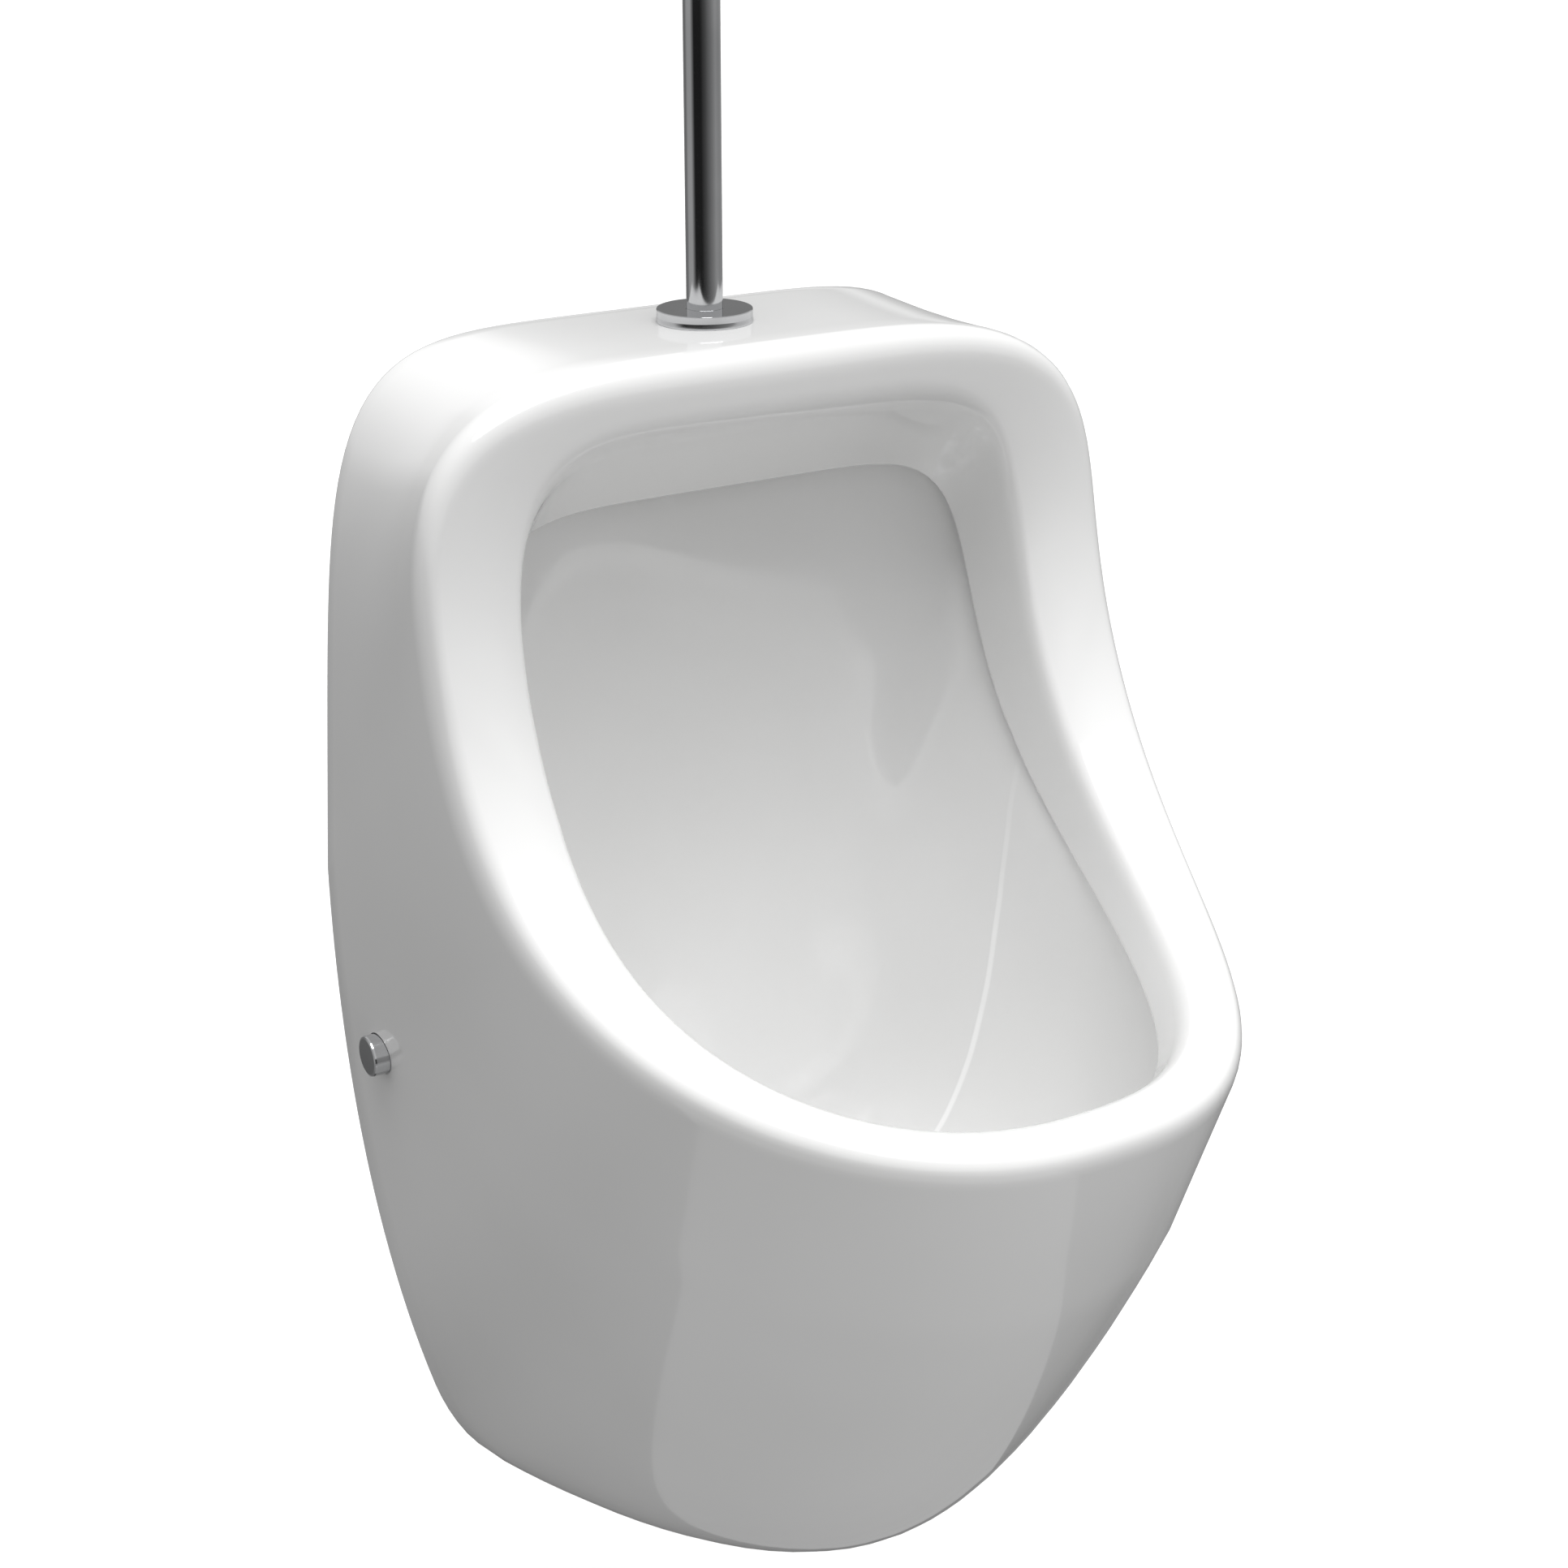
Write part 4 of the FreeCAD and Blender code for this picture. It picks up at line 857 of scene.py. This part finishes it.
def ceramic(glaze, clay):
    """Slip-cast body: shell, water chamber, hanging lugs, side pads and all its holes."""
    ridge, mouth, ledge, wall = ridge_ring(), mouth_ring(), ledge_ring(), wall_ring()
    body = filled_ceramic(glaze, ridge, mouth, ledge, wall)
    room, reach = CHAMBER_HALF_WIDTH, CHAMBER_HALF_WIDTH + CHAMBER_WALL
    low, front = HANGER_TOP_Z + HANGER_PAD, -HANGER_LUG_REACH
    lug = [(front, low), (-BACK_PAST, low), (-BACK_PAST, TOP_Z), (front, TOP_Z)]
    ledge_y, ledge_z = LEDGE_PROFILE[0]
    kept = [(prism, chamber_outline(CHAMBER_WALL), -reach, reach)]
    through = [upright(INLET_HOLE_R, (0, PIPE_Y, TOP_Z), INLET_CUT),
               upright(OUTLET_HOLE_R, (0, OUTLET_Y, FLOOR_Z), OUTLET_CUT, 96)]
    for i in range(-RIM_HOLES_EACH_SIDE, RIM_HOLES_EACH_SIDE + 1):
        place = (i * RIM_HOLE_PITCH, ledge_y + BOWL_TUCK / 2, ledge_z)
        through.append(upright(RIM_HOLE_R, place, RIM_HOLE_CUT, 24))
    seats = [upright(RECESS_R, (0, OUTLET_Y, FLOOR_Z), RECESS_CUT, 96)]
    outer = FIX_SEAT_X + 2 * FIX_PAD
    for side in (-1, 1):
        kept.append((prism, lug, side * HANGER_X - HANGER_LUG_HALF_WIDTH,
                     side * HANGER_X + HANGER_LUG_HALF_WIDTH))
        kept.append(crosswise(FIX_PAD_R, side, FIX_SEAT_X - FIX_PAD, FIX_SEAT_X + PAD_PAST))
        through.append(crosswise(FIX_HOLE_R, side, FIX_SEAT_X - 2 * FIX_PAD, outer))
        seats.append(crosswise(CAP_R + CAP_ROOM, side, FIX_SEAT_X, outer))
    carved(body, carved(hollow_behind(clay, ridge, mouth, wall), tool("kept", clay, *kept)),
           tool("chamber", clay, (prism, chamber_outline(0.0), -room, room)),
           tool("through", clay, *through), tool("seats", glaze, *seats))
    finished(body, "body", "white_glaze", 38.0, "ceramic_body")


# ---------------------------------------------------------------- fittings
def strainer(steel):
    """Domed grating: a pressed sheet with rings of round holes, and its skirt."""
    top, under = STRAINER_RISE, STRAINER_RISE - STRAINER_SHEET
    skirt, inner, rim = TAIL_BORE_R - FIT, TAIL_BORE_R - FIT - STRAINER_SHEET, STRAINER_R
    outline = [(0, top), (0, under), (13, under - 0.9), (inner, under - 2),
               (inner, -STRAINER_SKIRT), (skirt, -STRAINER_SKIRT), (skirt, 0),
               (rim, 0), (rim - 0.4, 0.8), (rim - 1.5, 1.4), (28.5, 2.9),
               (24, 4.4), (19, 5.5), (13, top - 0.75), (6, top - 0.2)]
    dome = tool("strainer_grating", steel, (turned, outline, (0, OUTLET_Y, FLANGE_TOP_Z)))
    holes = Recipe("grating_holes", Pitch=STRAINER_PITCH * MM, Hole=STRAINER_HOLE_R * MM)
    drill = holes.node("GeometryNodeMeshCylinder", {}, {
        "Vertices": 16, "Radius": holes.Hole, "Depth": DRILL_LENGTH * MM})["Mesh"]
    rings = [holes.node("GeometryNodePoints", {}, {"Count": 1})[0]]
    for k in range(1, STRAINER_RINGS + 1):
        circle = holes.node("GeometryNodeMeshCircle", {}, {
            "Vertices": 6 * k, "Radius": holes.Pitch * float(k)})
        rings.append(circle["Mesh"])
    moved = holes.node("GeometryNodeTransform", {}, {
        "Geometry": holes.copies(holes.join(rings), drill),
        "Translation": (0, OUTLET_Y * MM, FLANGE_TOP_Z * MM + DRILL_RISE * MM)})[0]
    carved(dome, holes.mesh("grating_holes", moved, steel))
    finished(dome, "strainer", "steel", 35.0, "strainer")


def rosette(polished):
    """Flat cap over the pipe's entry, with a crisp top edge above a slightly flared foot."""
    bore, rim, inside = PIPE_R + FIT, ROSETTE_R, ROSETTE_R - ROSETTE_SKIN
    top, under = ROSETTE_HEIGHT, ROSETTE_HEIGHT - ROSETTE_SKIN
    outline = [(inside, 0), (rim - 0.15, 0), (rim, 0.2), (rim, 0.7), (rim - 0.02, 0.95),
               (rim - 0.12, 1.9), (rim - 0.22, 2.85), (rim - 0.24, 3.1), (rim - 0.24, top - 0.4),
               (rim - 0.36, top - 0.12), (rim - 0.6, top), (bore + 0.3, top),
               (bore, top - 0.3), (bore, under), (inside - 1, under), (inside, under - 1)]
    made = tool("rosette_cap", polished, (turned, outline, (0, PIPE_Y, TOP_Z), 144))
    finished(made, "rosette", "chrome", 14.0, "pipe_rosette")


def wall_screws(name, node, zinc, half_x, middle_z, pitch):
    """Four hexagon head wood screws with a rolled thread, two above each other on each side."""
    face = -SHEET - WASHER
    tip = face + WALL_SCREW_LENGTH
    inset, height = WALL_HEAD_CHAMFER
    outer, bevel = face - WALL_HEAD, face - WALL_HEAD + height
    crown_r = WALL_HEAD_ACROSS / 2
    parts = tool(name + "_blank", zinc,
                 lengthwise(WALL_HEAD_CORNER_R, face, bevel, 6),
                 lengthwise(crown_r, bevel, outer, 32, crown_r - inset),
                 lengthwise(WALL_SCREW_NECK_R, face, 0, 24),
                 lengthwise(WALL_SCREW_CORE_R, 0, tip - WALL_SCREW_TIP, 24),
                 lengthwise(WALL_SCREW_CORE_R, tip - WALL_SCREW_TIP, tip, 24,
                            WALL_SCREW_POINT_R))
    screw = Recipe(name, Core=WALL_SCREW_CORE_R * MM, Crest=WALL_SCREW_R * MM,
                   Pitch=THREAD_PITCH * MM)
    turns = (tip - THREAD_END) / THREAD_PITCH
    middle = (screw.Core + screw.Crest) * 0.5
    coil = screw.node("GeometryNodeCurveSpiral", {}, {
        "Resolution": 20, "Rotations": turns, "Start Radius": middle, "End Radius": middle,
        "Height": screw.Pitch * turns})[0]
    ridge = screw.node("GeometryNodeCurvePrimitiveCircle", {}, {
        "Resolution": 4, "Radius": (screw.Crest - screw.Core) * 0.5})[0]
    thread = screw.node("GeometryNodeCurveToMesh", {}, {
        "Curve": coil, "Profile Curve": ridge, "Fill Caps": True})[0]
    laid = screw.node("GeometryNodeTransform", {}, {
        "Geometry": thread, "Rotation": (-math.pi / 2, 0, 0),
        "Translation": (0, THREAD_START * MM, 0)})[0]
    blank = screw.node("GeometryNodeObjectInfo", {}, {"Object": parts})["Geometry"]
    whole = screw.join([blank, laid])
    spots = []
    for x in (-half_x, half_x):
        for z in (middle_z - pitch / 2, middle_z + pitch / 2):
            values = {"Count": 1, "Position": (x * MM, 0, z * MM)}
            spots.append(screw.node("GeometryNodePoints", {}, values)[0])
    made = screw.mesh(name, screw.copies(screw.join(spots), whole), zinc)
    bpy.data.objects.remove(parts)
    finished(made, "body", "steel", 30.0, node)


def dress(materials):
    """Gives each carried-over node the finish of its record slot."""
    for entry in frame["record"]["subparts"]:
        shown = frame["nodes"][entry["node"]]
        shown.data.materials.clear()
        shown.data.materials.append(materials[entry["material_slot"]])


# ---------------------------------------------------------------- studio
def studio_floor():
    """Pale floor as far below the lip as in a washroom."""
    shader = Shader("floor_white")
    colour = shader.ramp(shader.noise(2.0), (0.3, grey(0.86)), (0.7, grey(0.88)))
    white = shader.finish(Base_Color=colour, Roughness=0.95, Specular_IOR_Level=0.0)
    bm = bmesh.new()
    bm.faces.new([bm.verts.new((x * FLOOR_REACH, y * FLOOR_REACH, (LIP_Z - LIP_ABOVE_FLOOR) * MM))
                  for x, y in ((-1, -1), (1, -1), (1, 1), (-1, 1))])
    floor = plain_object("floor", bm, white)
    floor.visible_diffuse = floor.visible_glossy = False


def lamp(name, kind, place, target, power, **settings):
    """A lamp that the camera doesn't see; places in metres."""
    data = bpy.data.lights.new(name, kind)
    data.energy = power
    for key, value in settings.items():
        setattr(data, key, value)
    made = bpy.data.objects.new(name, data)
    bpy.context.scene.collection.objects.link(made)
    made.location = place
    made.rotation_euler = (Vector(target) - Vector(place)).to_track_quat("-Z", "Y").to_euler()
    made.visible_camera = False
    return made


def lamps():
    """Broad light from above, a soft fill from low in front, and a card that glaze mirrors."""
    lamp("ceiling", "SUN", place=(0.1, -0.62, 3.0), target=(0, 0, 0), power=2.75,
         angle=math.radians(50))
    fill = lamp("front_fill", "AREA", place=(-0.1, -1.25, -0.4), target=(0.0, -0.2, -0.02),
                power=2.4, size=0.8)
    fill.visible_glossy = False
    lamp("floor_card", "AREA", place=(-0.45, -0.665, -0.55), target=(-0.45, -0.665, 1.0),
         power=1.5, shape="RECTANGLE", size=1.5, size_y=1.27)


def studio_air():
    """Grey air with the darker and lighter upright panels that polished metal mirrors.

    Only the camera sees it plain white.
    """
    made = bpy.data.worlds.new("studio_air")
    made.use_nodes = True
    air = NodeTree(made.node_tree)
    x, y, z = air.axes(air.node("ShaderNodeTexCoord", {}, {})["Generated"])
    turn = math.radians(CAMERA_TURN)
    ahead = x * -math.sin(turn) + y * -math.cos(turn)
    aside = x * math.cos(turn) + y * -math.sin(turn)
    panels = air.ramp(air.maths("ARCTAN2", aside, ahead) * (0.5 / math.pi) + 0.5,
                      *[((angle + 180) / 360, grey(value)) for angle, value in PANELS])
    heights = air.ramp(z * 0.5 + 0.5, *[(height, grey(value)) for height, value in HEIGHTS])
    near = air.clamped(air.span(z, *PANELS_SPAN))
    colour = air.mix(1.0, air.mix(near, grey(1.0), panels), heights, "MULTIPLY")
    begin, sharpness = BACKDROP_BEHIND
    level = air.clamped(air.maths("MINIMUM", air.span(z, *BACKDROP_SPAN),
                                  (begin - ahead) * sharpness))
    colour = air.mix(level, colour, grey(BACKDROP), "MULTIPLY")
    seen = air.node("ShaderNodeLightPath", {}, {})["Is Camera Ray"]
    background = made.node_tree.nodes["Background"]
    air.put(background.inputs["Color"], air.mix(seen, colour, grey(1.0 / AIR_STRENGTH)))
    air.put(background.inputs["Strength"], AIR_STRENGTH)
    bpy.context.scene.world = made


def camera():
    data = bpy.data.cameras.new("camera")
    data.sensor_width, data.lens = SENSOR, LENS
    data.clip_start, data.clip_end = CLIP
    made = bpy.data.objects.new("camera", data)
    made.location = [c * MM for c in CAMERA_PLACE]
    made.rotation_euler = (math.radians(90 - CAMERA_DROP), 0, math.radians(-CAMERA_TURN))
    bpy.context.scene.collection.objects.link(made)
    bpy.context.scene.camera = made


def main():
    steel, zinc = brushed_steel(), zinc_plate()
    materials = {"white_glaze": white_glaze(), "chrome": chrome(), "steel": zinc,
                 "brass": brass(), "rubber": rubber(),
                 "grey_plastic": plastic("grey_plastic", grey(0.30), grey(0.36), 0.4),
                 "white_plastic": plastic("white_plastic", grey(0.70), grey(0.76), 0.25)}
    dress(materials)
    camera()
    ceramic(materials["white_glaze"], bare_clay())
    strainer(steel)
    rosette(materials["chrome"])
    wall_screws("bracket_screw_set", "bracket_screws", zinc,
                BRACKET_SCREW_X, BRACKET_SCREW_Z, BRACKET_SCREW_PITCH)
    wall_screws("hanger_screw_set", "hanger_screws", zinc,
                HANGER_X, HANGER_SCREW_Z, HANGER_SCREW_PITCH)
    studio_floor()
    studio_air()
    lamps()
    bpy.context.scene.view_settings.view_transform = "Standard"


main()
